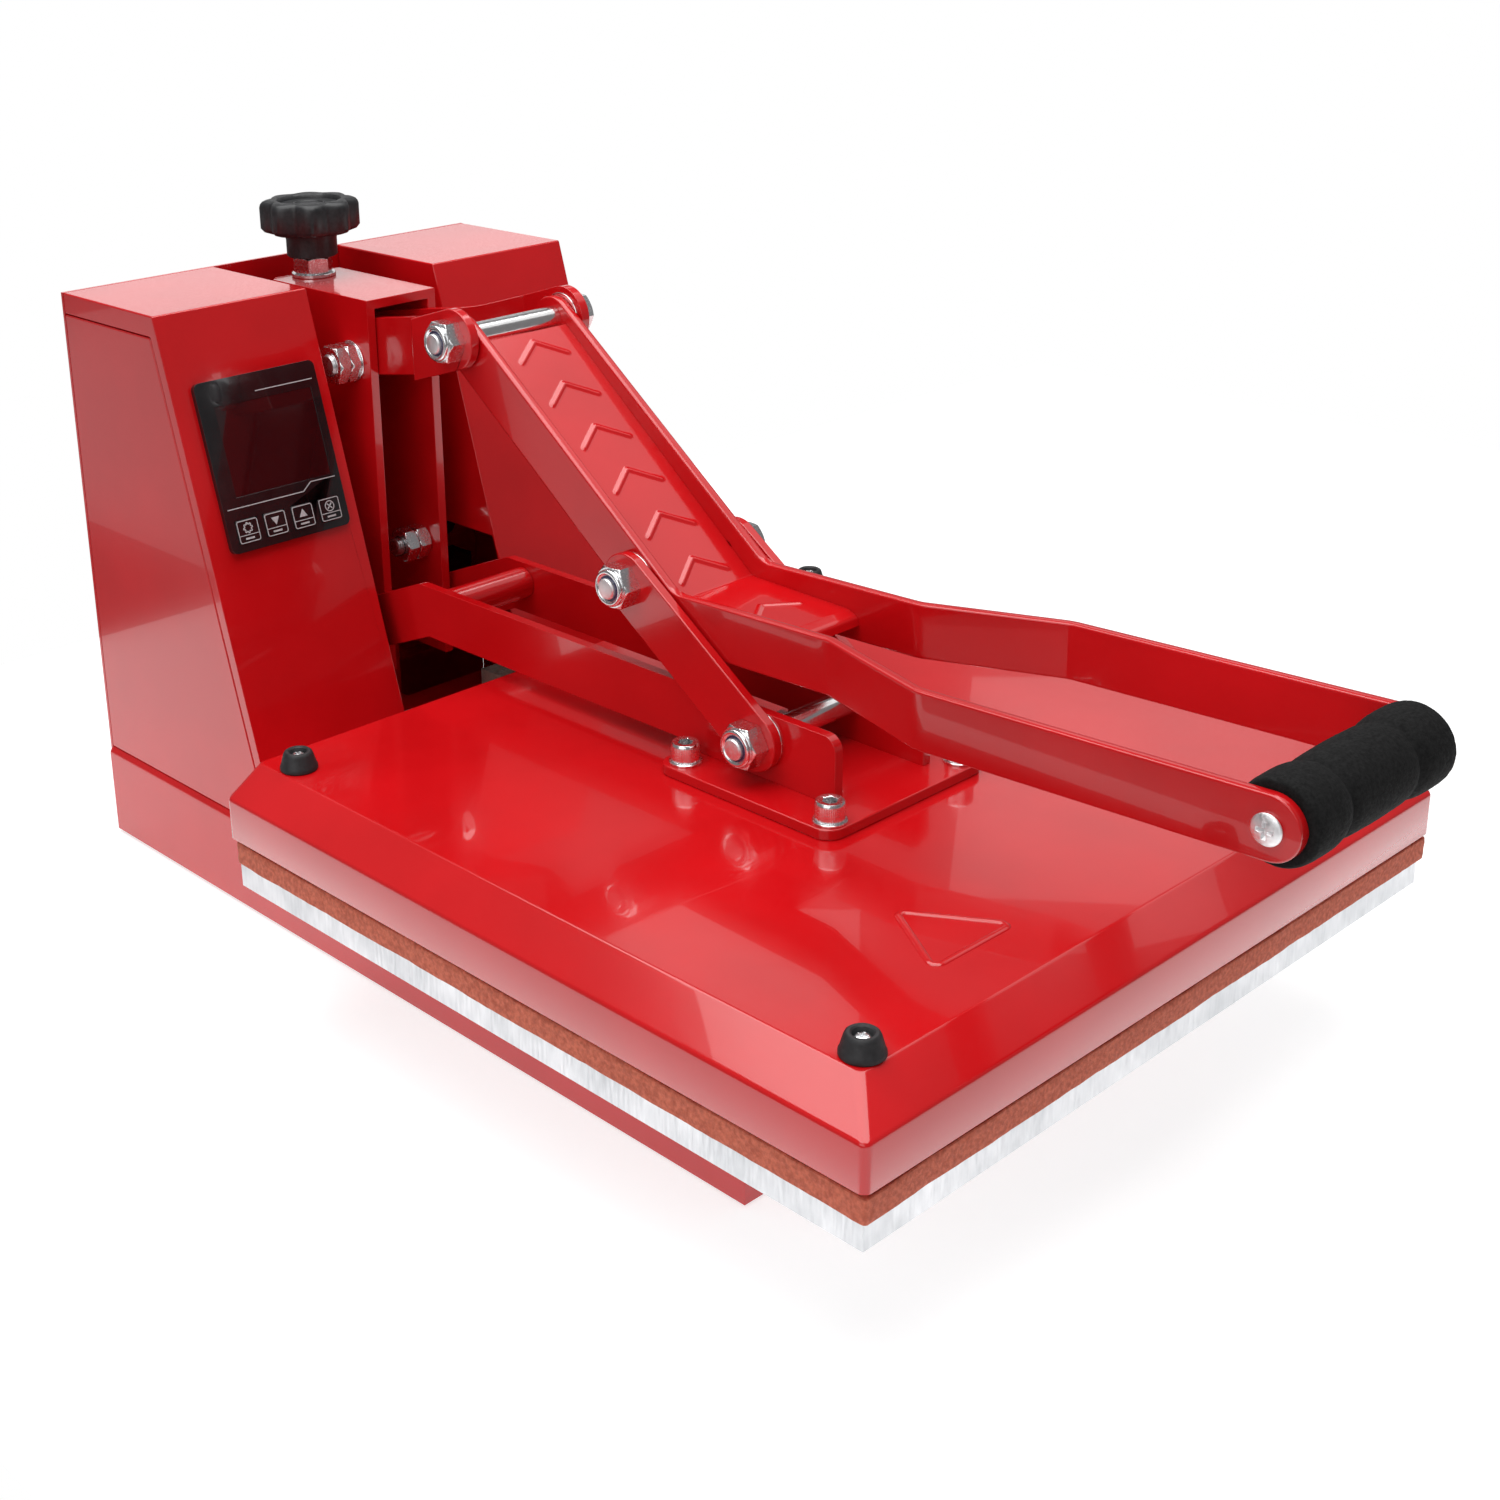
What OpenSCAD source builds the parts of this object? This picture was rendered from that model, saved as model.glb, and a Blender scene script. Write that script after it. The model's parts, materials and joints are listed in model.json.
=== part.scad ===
// Clamshell heat press, closed. Millimetres, +Z up, the operator stands on the -Y side.
// Origin: centre of the footprint on the bench. Y values in the driving dimensions are
// counted from the centre of the platens and moved to the footprint centre when drawn.

/* [Platens] */
// Side of the square platens
platen_side = 380; // [360:1:400]
// Thickness of the lower aluminium platen
platen_t = 12; // [10:1:14]
// Height of the lower platen's underside above the bench
platen_z = 67; // [66:0.5:68]
// Thickness of the silicone pad
pad_t = 11; // [9:0.5:11]
// Thickness of the upper heating platen
heater_t = 14; // [10:1:15]

/* [Heater cover] */
// Half width of the heater cover
cover_half = 193; // [192:0.5:195]
// Height of the cover's lower edge above the bench
cover_z = 92; // [91.5:0.1:93]
// Height of the cover's upright side
cover_side_h = 20; // [16:1:22]
// Height of the cover's flat top above the bench
cover_top = 124; // [122:0.5:124]
// How far the sloped border runs in from the side
cover_inset = 18.5; // [14:0.5:22]

/* [Base and towers] */
// Width of the base
base_w = 270; // [268:1:280]
// Height of the base's top face above the bench
base_h = 52; // [48:1:52]
// Distance from the platen centre forward to the base's front end
base_front = 81; // [70:1:100]
// Distance from the platen centre back to the rear face
base_back = 411; // [408:1:416]
// Height of the tower tops above the bench
tower_h = 308; // [304:1:312]
// Outer half width of the towers
tower_out = 133; // [130:1:133]
// Inner half width between the towers
tower_in = 41.5; // [41.5:0.5:44]
// Height below which the towers are open towards the middle
tower_open_z = 162; // [160:1:164]
// Forward foot of the sloped tower front
tower_foot_y = 246.5; // [240:0.5:250]
// Forward edge of the tower top
tower_top_y = 321.5; // [318:0.5:326]

/* [Pressure yoke] */
// Outer half width of the yoke
yoke_half = 22.3; // [22:0.1:22.5]
// Height of the yoke's top face
yoke_top = 301.5; // [300:0.5:304]
// Distance of the pressure spindle behind the platen centre
spindle_y = 374; // [372:0.5:374]

/* [Linkage pivots] */
// Distance of the head's rear hinge behind the platen centre
head_pivot_y = 335; // [334:0.5:336]
// Height of the head's rear hinge
head_pivot_z = 111; // [110:0.5:112]
// Distance of the rocker pivot behind the platen centre
rocker_pivot_y = 312; // [311:0.5:313]
// Height of the rocker pivot
rocker_pivot_z = 267.5; // [267:0.5:268.5]
// Distance of the handle pivot behind the platen centre
handle_pivot_y = 206.3; // [205.8:0.1:206.8]
// Height of the handle pivot
handle_pivot_z = 297.5; // [297:0.1:298]
// Distance of the links' upper pivot behind the platen centre
link_pivot_y = 87.6; // [87.1:0.1:88.1]
// Height of the links' upper pivot
link_pivot_z = 202.4; // [202:0.1:203]
// Distance of the links' lower pivot behind the platen centre
press_pivot_y = 7.9; // [7.4:0.1:8.4]
// Height of the links' lower pivot
press_pivot_z = 147.8; // [147.3:0.1:148.3]
// Diameter of the pivot bolts
bolt_d = 12; // [10:1:12]

/* [Handle] */
// Half distance between the handle plates near the pivot
plate_in = 27; // [27:0.1:27.3]
// Thickness of the handle, arm, link and rocker plates
plate_t = 5; // [4:0.5:5]
// Half distance between the handle plates at the grip
grip_in = 48.5; // [46:0.5:56]
// Width of the handle's flat bar
bar_w = 25.2; // [22:0.2:26]
// Distance of the grip axis in front of the platen centre
grip_reach = 250.5; // [248:0.5:253]
// Height of the grip axis
grip_z = 200.2; // [199:0.1:201]
// Diameter of the grip foam
foam_d = 34; // [32:1:40]

/* [Controller] */
// Width of the controller bezel
bezel_w = 72; // [64:1:76]
// Height of the controller bezel
bezel_h = 87; // [80:1:92]
// Distance of the bezel's lower edge up the sloped front
bezel_s = 143.4; // [130:0.2:150]

/* [Hidden] */

red = "#c4161c";
zinc = "#c9cbcd";
black = "#1b1b1d";
steel = "#8d9094";
$fn = 48;

sheet = 2;
gap = 0.3;
running = 0.06;
washer_t = 0.8;
lap_in = plate_in + plate_t + 1;
lap_out = lap_in + plate_t;
bolt_r = bolt_d / 2;
head_pivot = [head_pivot_y, head_pivot_z];
rocker_pivot = [rocker_pivot_y, rocker_pivot_z];
handle_pivot = [handle_pivot_y, handle_pivot_z];
link_pivot = [link_pivot_y, link_pivot_z];
press_pivot = [press_pivot_y, press_pivot_z];
grip_axis = [-grip_reach, grip_z];
nut_af = 19;
nut_r = nut_af / 2 / cos(30);
nyloc_h = 12;
thin_nut_h = 7;
wash_r = 12;
arm_w = 28;
link_w = 28;
rocker_w = 30;
pad_top = platen_z + platen_t + pad_t;
heater_z = pad_top + gap;
plate_z = cover_top;
mount_t = 5;
mount_half = 53;
cap_pitch = 43.5;
arm_bend = [248.5, 146.5];
slope = atan((tower_top_y - tower_foot_y) / (tower_h - base_h));
front_y = grip_axis[0] - foam_d / 2;
inlet_t = 2.5;
rear_y = base_back + inlet_t;
mid_y = (front_y + rear_y) / 2;
bezel_x = -tower_out + 11.5;
bezel_t = 3;
key_x = [11.4, 28, 44.7, 61.3];
key_v = 10.1;
key_size = [13.2, 12.4];
bumper_x = [-165, 182];
bumper_y = [-167, 173];
switch_at = [104, 96];
inlet_at = [70, 96];
fuse_at = [88, 136];
conduit_d = 11;
conduit_bend = [287, 70];

// Moves the platen-centred layout to the footprint centre.
module placed() translate([0, -mid_y, 0]) children();
// Side profile (y, z) extruded across the machine between x0 and x1.
module across(x0, x1) translate([x0, 0, 0]) rotate([90, 0, 90]) linear_extrude(x1 - x0) children();
// Cylinder lying along X through the point p = [y, z].
module rod(p, r, x0, x1) translate([x0, p[0], p[1]]) rotate([0, 90, 0]) cylinder(r = r, h = x1 - x0);
// Hexagon of the standard nut size lying along X.
module hex_x(p, x0, x1) translate([x0, p[0], p[1]]) rotate([0, 90, 0])
    cylinder(r = nut_r, h = x1 - x0, $fn = 6);
// The children and their mirror image across the middle plane.
module both() {
    children();
    mirror([1, 0, 0]) children();
}
// Flat bar outline from p to q with round ends; the ends stand a hair proud of the straight
// edges, so that each arc crosses its edge cleanly.
module bar2d(p, q, w) {
    d = q - p;
    translate(p) rotate(atan2(d[1], d[0])) translate([0, -w / 2]) square([norm(d), w]);
    for (end = [p, q]) translate(end) circle(r = w / 2 + 0.02);
}
// Nyloc nut along +X with its round collar outward.
module nyloc(p, x0) {
    hex_x(p, x0, x0 + nyloc_h * 0.68);
    rod(p, nut_af / 2 - 0.9, x0 + nyloc_h * 0.68, x0 + nyloc_h);
}
module washer_x(p, x0, x1) difference() {
    rod(p, wash_r, x0, x1);
    rod(p, bolt_r + running, x0 - 1, x1 + 1);
}
// Frame on the sloped tower front: x across, z up the slope, -y outward.
module on_slope() translate([0, tower_foot_y, base_h]) rotate([-slope, 0, 0]) children();
// Rounded rectangle from the origin, in the xz plane, running inward from y0 to y1.
module tile(w, h, r, y0, y1) translate([0, y1, 0]) rotate([90, 0, 0])
    linear_extrude(y1 - y0) rounded(w, h, r);
module rounded(w, h, r) {
    translate([r, 0]) square([w - 2 * r, h]);
    translate([0, r]) square([w, h - 2 * r]);
    for (x = [r, w - r], y = [r, h - r]) translate([x, y]) circle(r);
}

// ---- frame ----
module base_shell() color(red) placed() {
    half = base_w / 2;
    lip = 2;
    difference() {
        translate([-half, -base_front, lip]) cube([base_w, base_front + base_back - sheet, base_h - lip]);
        translate([-half + sheet, -base_front + sheet, 0])
            cube([base_w - 2 * sheet, base_front + base_back - sheet, base_h - sheet]);
        both() edge_round(half);
        both() translate([27, base_back - 63, base_h - 5]) cube([91, 50, 10]);
        platen_screw_spots() cylinder(d = 8, h = base_h + 1);
    }
}
// Cutter that rounds the long upper edge at x = half.
module edge_round(half) {
    r = 4;
    translate([half - r, 0, base_h - r]) rotate([-90, 0, 0])
        translate([0, 0, -base_front - 1]) linear_extrude(base_front + base_back + 2)
            difference() {
                translate([0, -r - 1]) square(r + 1);
                circle(r);
            }
}
module base_floor() color(black) placed() {
    half = base_w / 2 - sheet - gap;
    difference() {
        translate([-half, -base_front + sheet + gap, 3])
            cube([2 * half, base_front + base_back - 2 * sheet - 2 * gap, sheet]);
        for (i = [0:6]) translate([-40 + i * 12, 20, 0]) cube([5, 90, 10]);
    }
}
module feet() color(black) placed()
    for (x = [-115, 115], y = [-62, base_back - 22]) translate([x, y, 0]) {
        cylinder(d1 = 22, d2 = 25, h = 3);
    }
// Side profile of a tower, grown or shrunk by d.
module tower2d(d) {
    run = (tower_top_y - tower_foot_y) / (tower_h - base_h);
    shift = d / cos(slope);
    polygon([[tower_foot_y + shift, base_h], [tower_top_y + shift - d * run, tower_h - d],
        [base_back - sheet - max(d - 2, 0), tower_h - d], [base_back - sheet - max(d - 2, 0), base_h]]);
}
flange_top = 11;
flange_front = 6.5;
// Folded tower sheet: sloped front, top, inner wall and the narrow flanges of the outer side.
module tower() difference() {
    across(tower_in, tower_out) tower2d(0);
    across(tower_in + sheet, tower_out - sheet) {
        tower2d(sheet);
        translate([base_back - 10, base_h]) square([20, tower_h - base_h - sheet]);
    }
    across(tower_in - 1, tower_in + sheet + 1) intersection() {
        tower2d(sheet);
        translate([0, 0]) square([500, tower_open_z]);
    }
    across(tower_out - sheet - 1, tower_out + 1) difference() {
        tower2d(0);
        tower2d_flange();
    }
    translate([tower_in, tower_foot_y - 1, base_h - 1]) cube([tower_out - tower_in, base_back, 1]);
}
module tower2d_flange() difference() {
    tower2d(0);
    side2d(0);
}
// Outline of the outer side cover, smaller by the seam s.
module side2d(s) {
    run = (tower_top_y - tower_foot_y) / (tower_h - base_h);
    top = tower_h - flange_top - s;
    y_foot = tower_foot_y + (flange_front + s) / cos(slope);
    polygon([[y_foot, base_h], [y_foot + (top - base_h) * run, top],
        [base_back - sheet, top], [base_back - sheet, base_h]]);
}
module tower_left() color(red) placed() difference() {
    mirror([1, 0, 0]) tower();
    on_slope() translate([bezel_x + 4, -5, bezel_s + 4]) cube([bezel_w - 8, 12, bezel_h - 8]);
}
module tower_right() color(red) placed() tower();
module side_cover() across(tower_out - sheet, tower_out) side2d(0.4);
module side_cover_left() color(red) placed() mirror([1, 0, 0]) side_cover();
module side_cover_right() color(red) placed() side_cover();
module rear_panel() color(red) placed() difference() {
    translate([-tower_out, base_back - sheet, 5.5]) cube([2 * tower_out, sheet, tower_h - 5.5]);
    translate([inlet_at[0] - 14, base_back - 10, inlet_at[1] - 10.5]) cube([28, 20, 21]);
    translate([switch_at[0] - 9.6, base_back - 10, switch_at[1] - 14]) cube([19.2, 20, 28]);
    translate([fuse_at[0], base_back + 10, fuse_at[1]]) rotate([90, 0, 0]) cylinder(d = 13.2, h = 20);
    for (x = [-100:10:-60]) translate([x, base_back - 10, 200]) cube([4, 20, 60]);
}
module yoke() color(red) placed() {
    wall = 5;
    front = 296;
    back = 385;
    difference() {
        union() {
            both() translate([yoke_half - wall, front, base_h])
                cube([wall, back - front, yoke_top - base_h]);
            translate([-yoke_half + wall, front, yoke_top - wall])
                cube([2 * (yoke_half - wall), back - front, wall]);
            translate([-yoke_half + wall, back - wall, base_h]) cube([2 * (yoke_half - wall), wall, 140]);
        }
        rod(rocker_pivot, bolt_r, -40, 40);
        rod(head_pivot, bolt_r, -40, 40);
        rod([front + 16, 159], 5, 10, 40);
        translate([-40, front - 1, base_h - 1]) cube([80, 52, 96 - base_h + 1]);
        translate([0, spindle_y, 200]) cylinder(r = bolt_r + running, h = 200);
        both() translate([yoke_half, back, 0]) rotate([0, 0, 45]) cube([6, 6, 800], center = true);
    }
}
module yoke_lock_bolt() color(zinc) placed() {
    p = [312, 159];
    rod(p, 5, -3, yoke_half);
    for (x = [1.3, 9.3]) translate([x, p[0], p[1]]) rotate([0, 90, 0]) cylinder(r = 9.8, h = 7.7, $fn = 6);
    rod(p, 9, yoke_half, yoke_half + 3.4);
}
module rocker_pin() color(zinc) placed() {
    rod(rocker_pivot, bolt_r, -38.2, 38.2);
    both() {
        hex_x(rocker_pivot, yoke_half, yoke_half + 7.2);
        hex_x(rocker_pivot, yoke_half + 7.5, yoke_half + 14.5);
    }
}
module hinge_pin() color(zinc) placed() {
    rod(head_pivot, bolt_r, -lap_in - thin_nut_h, lap_in + thin_nut_h);
    both() {
        washer_x(head_pivot, lap_in - washer_t, lap_in);
        hex_x(head_pivot, lap_in, lap_in + thin_nut_h - 0.3);
    }
}
module hinge_bushes() color("#b48a3c") placed() both() difference() {
    rod(head_pivot, 10, yoke_half, plate_in - 0.2);
    rod(head_pivot, bolt_r + running, yoke_half - 1, plate_in + 1);
}
module slab(side, z, t) translate([-side / 2, -side / 2, z]) cube([side, side, t]);
module lower_platen() color("silver") placed() slab(platen_side, platen_z, platen_t);
module silicone_pad() color("#c8553a") placed()
    translate([-platen_side / 2 - 0.5, -platen_side / 2 - 0.5, platen_z + platen_t])
        cube([platen_side + 3, platen_side + 1, pad_t]);
rail_y = [-55, 130];
module platen_screw_spots() for (x = [-90, 90], y = rail_y) translate([x, y, 0]) children();
module platen_rails() color(black) placed() difference() {
    for (y = rail_y) difference() {
        translate([-120, y - 12.5, base_h]) cube([240, 25, platen_z - base_h]);
        translate([-121, y - 9.5, base_h - 1]) cube([242, 19, platen_z - base_h - 2]);
    }
    platen_screw_spots() cylinder(d = 8, h = 200);
}
module platen_screws() color(zinc) placed() platen_screw_spots() {
    translate([0, 0, base_h - sheet - 5.5]) cylinder(d = 14.4, h = 5.5, $fn = 6);
    translate([0, 0, base_h - sheet]) cylinder(d = 7.8, h = platen_z - base_h + sheet);
}

// ---- controls ----
module bezel_frame() on_slope() translate([bezel_x, 0, bezel_s]) children();
module controller_bezel() color(black) placed() bezel_frame() difference() {
    union() {
        tile(bezel_w, bezel_h, 3.5, -bezel_t, 0);
        translate([5, 0, 5]) tile(bezel_w - 10, bezel_h - 10, 2, 0, 10);
    }
    translate([9, -10, 27.5]) cube([bezel_w - 14, 40, 46]);
    for (x = key_x) translate([x, 0, key_v]) cube([key_size[0], 40, key_size[1]], center = true);
    translate([6.5, sheet, 6.5]) cube([bezel_w - 13, 20, bezel_h - 13]);
}
module display_window() color("#3a0508") placed() bezel_frame()
    translate([9, -bezel_t + 0.2, 27.5]) cube([bezel_w - 14, 2.6, 46]);
module controller_board() color("#1e5a36") placed() bezel_frame() {
    translate([7.5, 6, 7.5]) cube([bezel_w - 15, 1.6, bezel_h - 15]);
    translate([12, 2.2, 31]) cube([46, 3.8, 32]);
    for (x = key_x) translate([x - 3, 3.4, key_v - 3]) cube([6, 2.6, 6]);
    translate([14, 7.6, 20]) cube([44, 14, 40]);
}
module key(i) color(black) placed() bezel_frame() translate([key_x[i], 0, key_v]) {
    translate([-key_size[0] / 2 + 0.15, -bezel_t - 0.4, -key_size[1] / 2 + 0.15])
        tile(key_size[0] - 0.3, key_size[1] - 0.3, 1.2, 0, 3);
    translate([-2, -0.5, -2]) cube([4, 3.3, 4]);
}
module set_key() key(0);
module down_key() key(1);
module up_key() key(2);
module clear_key() key(3);
// Relay bolted flat against the rear panel.
module solid_state_relay() color("#e6e4dc") placed() translate([70, base_back - sheet, 200])
    difference() {
        translate([0, -24, 0]) cube([45, 24, 58]);
        for (z = [7, 51]) translate([22.5, 1, z]) rotate([90, 0, 0]) cylinder(d = 4.4, h = 30);
    }
module terminal_block() color("#d8d2c0") placed() {
    for (i = [0:5]) translate([62 + i * 9, 300, base_h]) difference() {
        cube([8.6, 22, 14]);
        translate([4.3, 11, 6]) cylinder(d = 5, h = 20);
    }
    translate([62, 304, base_h]) cube([53, 14, 4]);
}
module power_inlet() color(black) placed() translate([inlet_at[0], base_back, inlet_at[1]]) difference() {
    union() {
        translate([-17, 0, -14]) tile(34, 28, 3, 0, inlet_t);
        translate([-13.7, -24, -10.2]) cube([27.4, 24, 20.4]);
    }
    translate([-11.8, -16, -8]) cube([23.6, 30, 16]);
}
module fuse_holder() color(black) placed() translate([fuse_at[0], base_back, fuse_at[1]]) {
    rotate([90, 0, 0]) cylinder(d = 13, h = 30);
    rotate([-90, 0, 0]) cylinder(d = 17, h = 1.4);
    rotate([-90, 0, 0]) cylinder(d = 12, h = 2.4);
}
module switch_housing() color(black) placed() translate([switch_at[0], base_back, switch_at[1]])
    difference() {
        union() {
            translate([-11, 0, -15.5]) tile(22, 31, 1.5, 0, 1.6);
            translate([-9.4, -20, -13.8]) cube([18.8, 20, 27.6]);
        }
        translate([-7.6, -9, -12]) cube([15.2, 30, 24]);
    }
// Rocker key of the mains switch: a shallow vee about its pivot.
module switch_key() color("#8c1414") placed() translate([switch_at[0], base_back - 4, switch_at[1]])
    across(-7.3, 7.3) {
        polygon([[0, -3], [4.2, -9.6], [6.2, -9.9], [5.0, 0], [4.0, 9.9], [2.2, 9.6], [0, 3]]);
        circle(3);
    }
// Box in the left tower with the gland that receives the heater conduit.
module junction_box() color(black) placed() {
    translate([-124, 270, base_h]) cube([26, 34, 36]);
    translate([-98, conduit_bend[0], conduit_bend[1]]) rotate([0, 90, 0]) {
        cylinder(d = 19, h = 5, $fn = 6);
        translate([0, 0, 5]) cylinder(d = 16, h = 9);
    }
}

// ---- pressure adjustment ----
knob_z = 325;
module pressure_knob() color(black) placed() translate([0, spindle_y, knob_z]) difference() {
    union() {
        translate([0, 0, -12.5]) cylinder(d = 27.5, h = 14);
        linear_extrude(18.5) {
            circle(22.5);
            for (i = [0:7]) rotate(i * 45 + 12) translate([18.5, 0]) circle(8.4);
        }
    }
    translate([0, 0, 15.5]) cylinder(r = 15.5, h = 10);
    translate([0, 0, -13]) cylinder(r = bolt_r, h = 25);
}
module pressure_spindle() color(zinc) placed() translate([0, spindle_y, 0]) {
    translate([0, 0, 226]) cylinder(r = bolt_r, h = knob_z + 12 - 226);
    translate([0, 0, yoke_top - 5 - 6.2]) cylinder(r = 10, h = 6);
    translate([0, 0, 228]) cylinder(r = 8, h = 5);
}
module jam_nut() color(zinc) placed() translate([0, spindle_y, yoke_top + 0.1]) difference() {
    union() {
        cylinder(r = wash_r, h = 1.9);
        translate([0, 0, 1.9]) cylinder(r = nut_r, h = 9, $fn = 6);
    }
    translate([0, 0, -1]) cylinder(r = bolt_r, h = 20);
}

// ---- rocker ----
tail = [spindle_y, 264];
joggle_y = [237, 262];
tail_out = yoke_half - 5 - 0.8;
module rocker_plate() difference() {
    intersection() {
        across(0, 60) {
            bar2d(handle_pivot, [250, 284], rocker_w);
            bar2d([250, 284], tail, rocker_w);
        }
        linear_extrude(500) polygon([[lap_in, 0], [lap_in, joggle_y[0] - 1],
            [tail_out - plate_t, joggle_y[1] - 1], [tail_out - plate_t, 500], [tail_out, 500],
            [tail_out, joggle_y[1] + 1], [lap_out, joggle_y[0] + 1], [lap_out, 0]]);
    }
    rod(handle_pivot, bolt_r, 0, 60);
    rod(rocker_pivot, bolt_r + running, 0, 60);
    rod(tail, 8, 0, 60);
}
module rocker_left() color(red) placed() mirror([1, 0, 0]) rocker_plate();
module rocker_right() color(red) placed() rocker_plate();
module trunnion() color(steel) placed() difference() {
    rod(tail, 8, -tail_out, tail_out);
    translate([0, tail[0], 200]) cylinder(r = bolt_r + 0.45, h = 200);
}
module rocker_sleeve() color(zinc) placed() difference() {
    rod(rocker_pivot, 9, -tail_out + plate_t, tail_out - plate_t);
    rod(rocker_pivot, bolt_r + running, -60, 60);
}
// Handle pivot bolt: head on the right, nyloc nut on the left.
module handle_bolt() color(zinc) placed() {
    rod(handle_pivot, bolt_r, -lap_out - nyloc_h - 1, lap_out + 1);
    mirror([1, 0, 0]) nyloc(handle_pivot, lap_out);
    hex_x(handle_pivot, lap_out, lap_out + 7.5);
    both() washer_x(handle_pivot, lap_in - washer_t, lap_in);
}

// ---- handle ----
knee = [66, 189];
wrist = [-95, 193.9];
splay_y = [-31, -95.5];
// Handle side profile: inclined bar, knee, level bar, rising end.
module handle2d() {
    n = [-0.613, 0.79];
    bar2d(handle_pivot - 2.5 * n, knee, bar_w);
    bar2d(knee, wrist, bar_w);
    bar2d(wrist, grip_axis, bar_w);
    fillet_r = 16;
    fillet2d(knee, fillet_r);
}
// Fills the inner corner over the knee with a concave radius.
module fillet2d(p, r) {
    corner = p + [-4.4, 12.2];
    difference() {
        polygon([corner + [7.5, 5.8], corner + [-8, 0.1], corner - [0, 2]]);
        translate(corner + [-5.6, 16.2]) circle(r);
    }
}
module handle_plate() difference() {
    intersection() {
        across(0, 100) handle2d();
        linear_extrude(500) polygon([[plate_in, 300], [plate_in, splay_y[0]],
            [grip_in, splay_y[1]], [grip_in, -300], [grip_in + plate_t, -300],
            [grip_in + plate_t, splay_y[1] + 0.88], [plate_in + plate_t, splay_y[0] + 0.88],
            [plate_in + plate_t, 300]]);
    }
    rod(handle_pivot, bolt_r + running, 0, 100);
    rod(link_pivot, bolt_r, 0, 100);
    rod(grip_axis, 3, 0, 100);
}
module handle_left() color(red) placed() mirror([1, 0, 0]) handle_plate();
module handle_right() color(red) placed() handle_plate();
web_t = 3;
module handle_web() color(red) placed() {
    top = [196.7, 295.8];
    bend = [68.8, 194];
    lip = [9.4, 192.6];
    across(-plate_in, plate_in) {
        polygon([top, bend, lip, lip + [-5, -2.6], lip + [-6.6, -6], lip + [-3.6, -6.8],
            lip + [-2.6, -4.6], lip + [0, -web_t], bend + [1.2, -web_t], top + [1.9, -2.4]]);
    }
}
module grip_tube() color(steel) placed() difference() {
    rod(grip_axis, 11, -grip_in, grip_in);
    rod(grip_axis, 3, -grip_in - 1, grip_in + 1);
}
module grip_foam() color("#151515") placed() translate([0, grip_axis[0], grip_axis[1]]) {
    r = foam_d / 2;
    half = grip_in - 0.1;
    rotate([0, 90, 0]) rotate_extrude() polygon([[11, -half], [r - 1.5, -half], [r, -half + 4],
        [r, -32], [r - 0.6, -27], [r - 2.2, -23], [r - 1, -18], [r - 0.6, 0], [r - 1, 18],
        [r - 2.2, 23], [r - 0.6, 27], [r, 32], [r, half - 4], [r - 1.5, half], [11, half]]);
}
module grip_screws() color(zinc) placed() both() {
    rod(grip_axis, 3, grip_in - 18, grip_in + plate_t);
    difference() {
        rod(grip_axis, 6.2, grip_in + plate_t, grip_in + plate_t + 2.6);
        translate([grip_in + plate_t + 2.2, grip_axis[0], grip_axis[1]]) {
            cube([2, 5, 1], center = true);
            cube([2, 1, 5], center = true);
        }
    }
}
// Studs in the handle plates with their thrust washers; the links turn beside them.
module toggle_studs() color(zinc) placed() both() {
    rod(link_pivot, bolt_r, plate_in, plate_in + plate_t);
    rod(link_pivot, wash_r + 1.5, plate_in + plate_t, lap_in - 0.2);
}

// ---- head ----
module arm2d() {
    z0 = arm_bend[1] - arm_w / 2;
    difference() {
        union() {
            bar2d(head_pivot, arm_bend, arm_w);
            translate([-36, z0]) square([arm_bend[0] + 36, arm_w]);
            translate([-36, plate_z + mount_t]) square([82, arm_w - 2]);
        }
        translate([-37, z0 + arm_w]) ear_corner();
    }
}
module ear_corner() difference() {
    r = 7;
    translate([0, -r]) square([r + 1, r + 1]);
    translate([r + 1, -r]) circle(r);
}
module head_arms() color(red) placed() both() difference() {
    across(plate_in, plate_in + plate_t) arm2d();
    rod(head_pivot, bolt_r + running, 0, 60);
    rod(press_pivot, bolt_r, 0, 60);
}
module cross_tube() color(red) placed() difference() {
    rod([237.5, 149.5], 8.5, -plate_in, plate_in);
    rod([237.5, 149.5], 6.5, -plate_in - 1, plate_in + 1);
}
module mounting_plate() color(red) placed() difference() {
    translate([-mount_half, -mount_half + 1, plate_z])
        linear_extrude(mount_t) rounded(2 * mount_half, 2 * mount_half, 9);
    cap_positions() translate([0, 0, plate_z - 1]) cylinder(r = 4.2, h = 20);
}
module cap_positions() for (x = [-cap_pitch, cap_pitch], y = [-cap_pitch, cap_pitch])
    translate([x, y, 0]) children();
module cap_screws() color(zinc) placed() cap_positions() difference() {
    union() {
        translate([0, 0, plate_z + mount_t]) cylinder(d = 13.4, h = 10);
        translate([0, 0, heater_z + 5]) cylinder(r = 4, h = plate_z + mount_t - heater_z - 5);
    }
    translate([0, 0, plate_z + mount_t + 5]) cylinder(d = 7.4, h = 10, $fn = 6);
}
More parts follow.
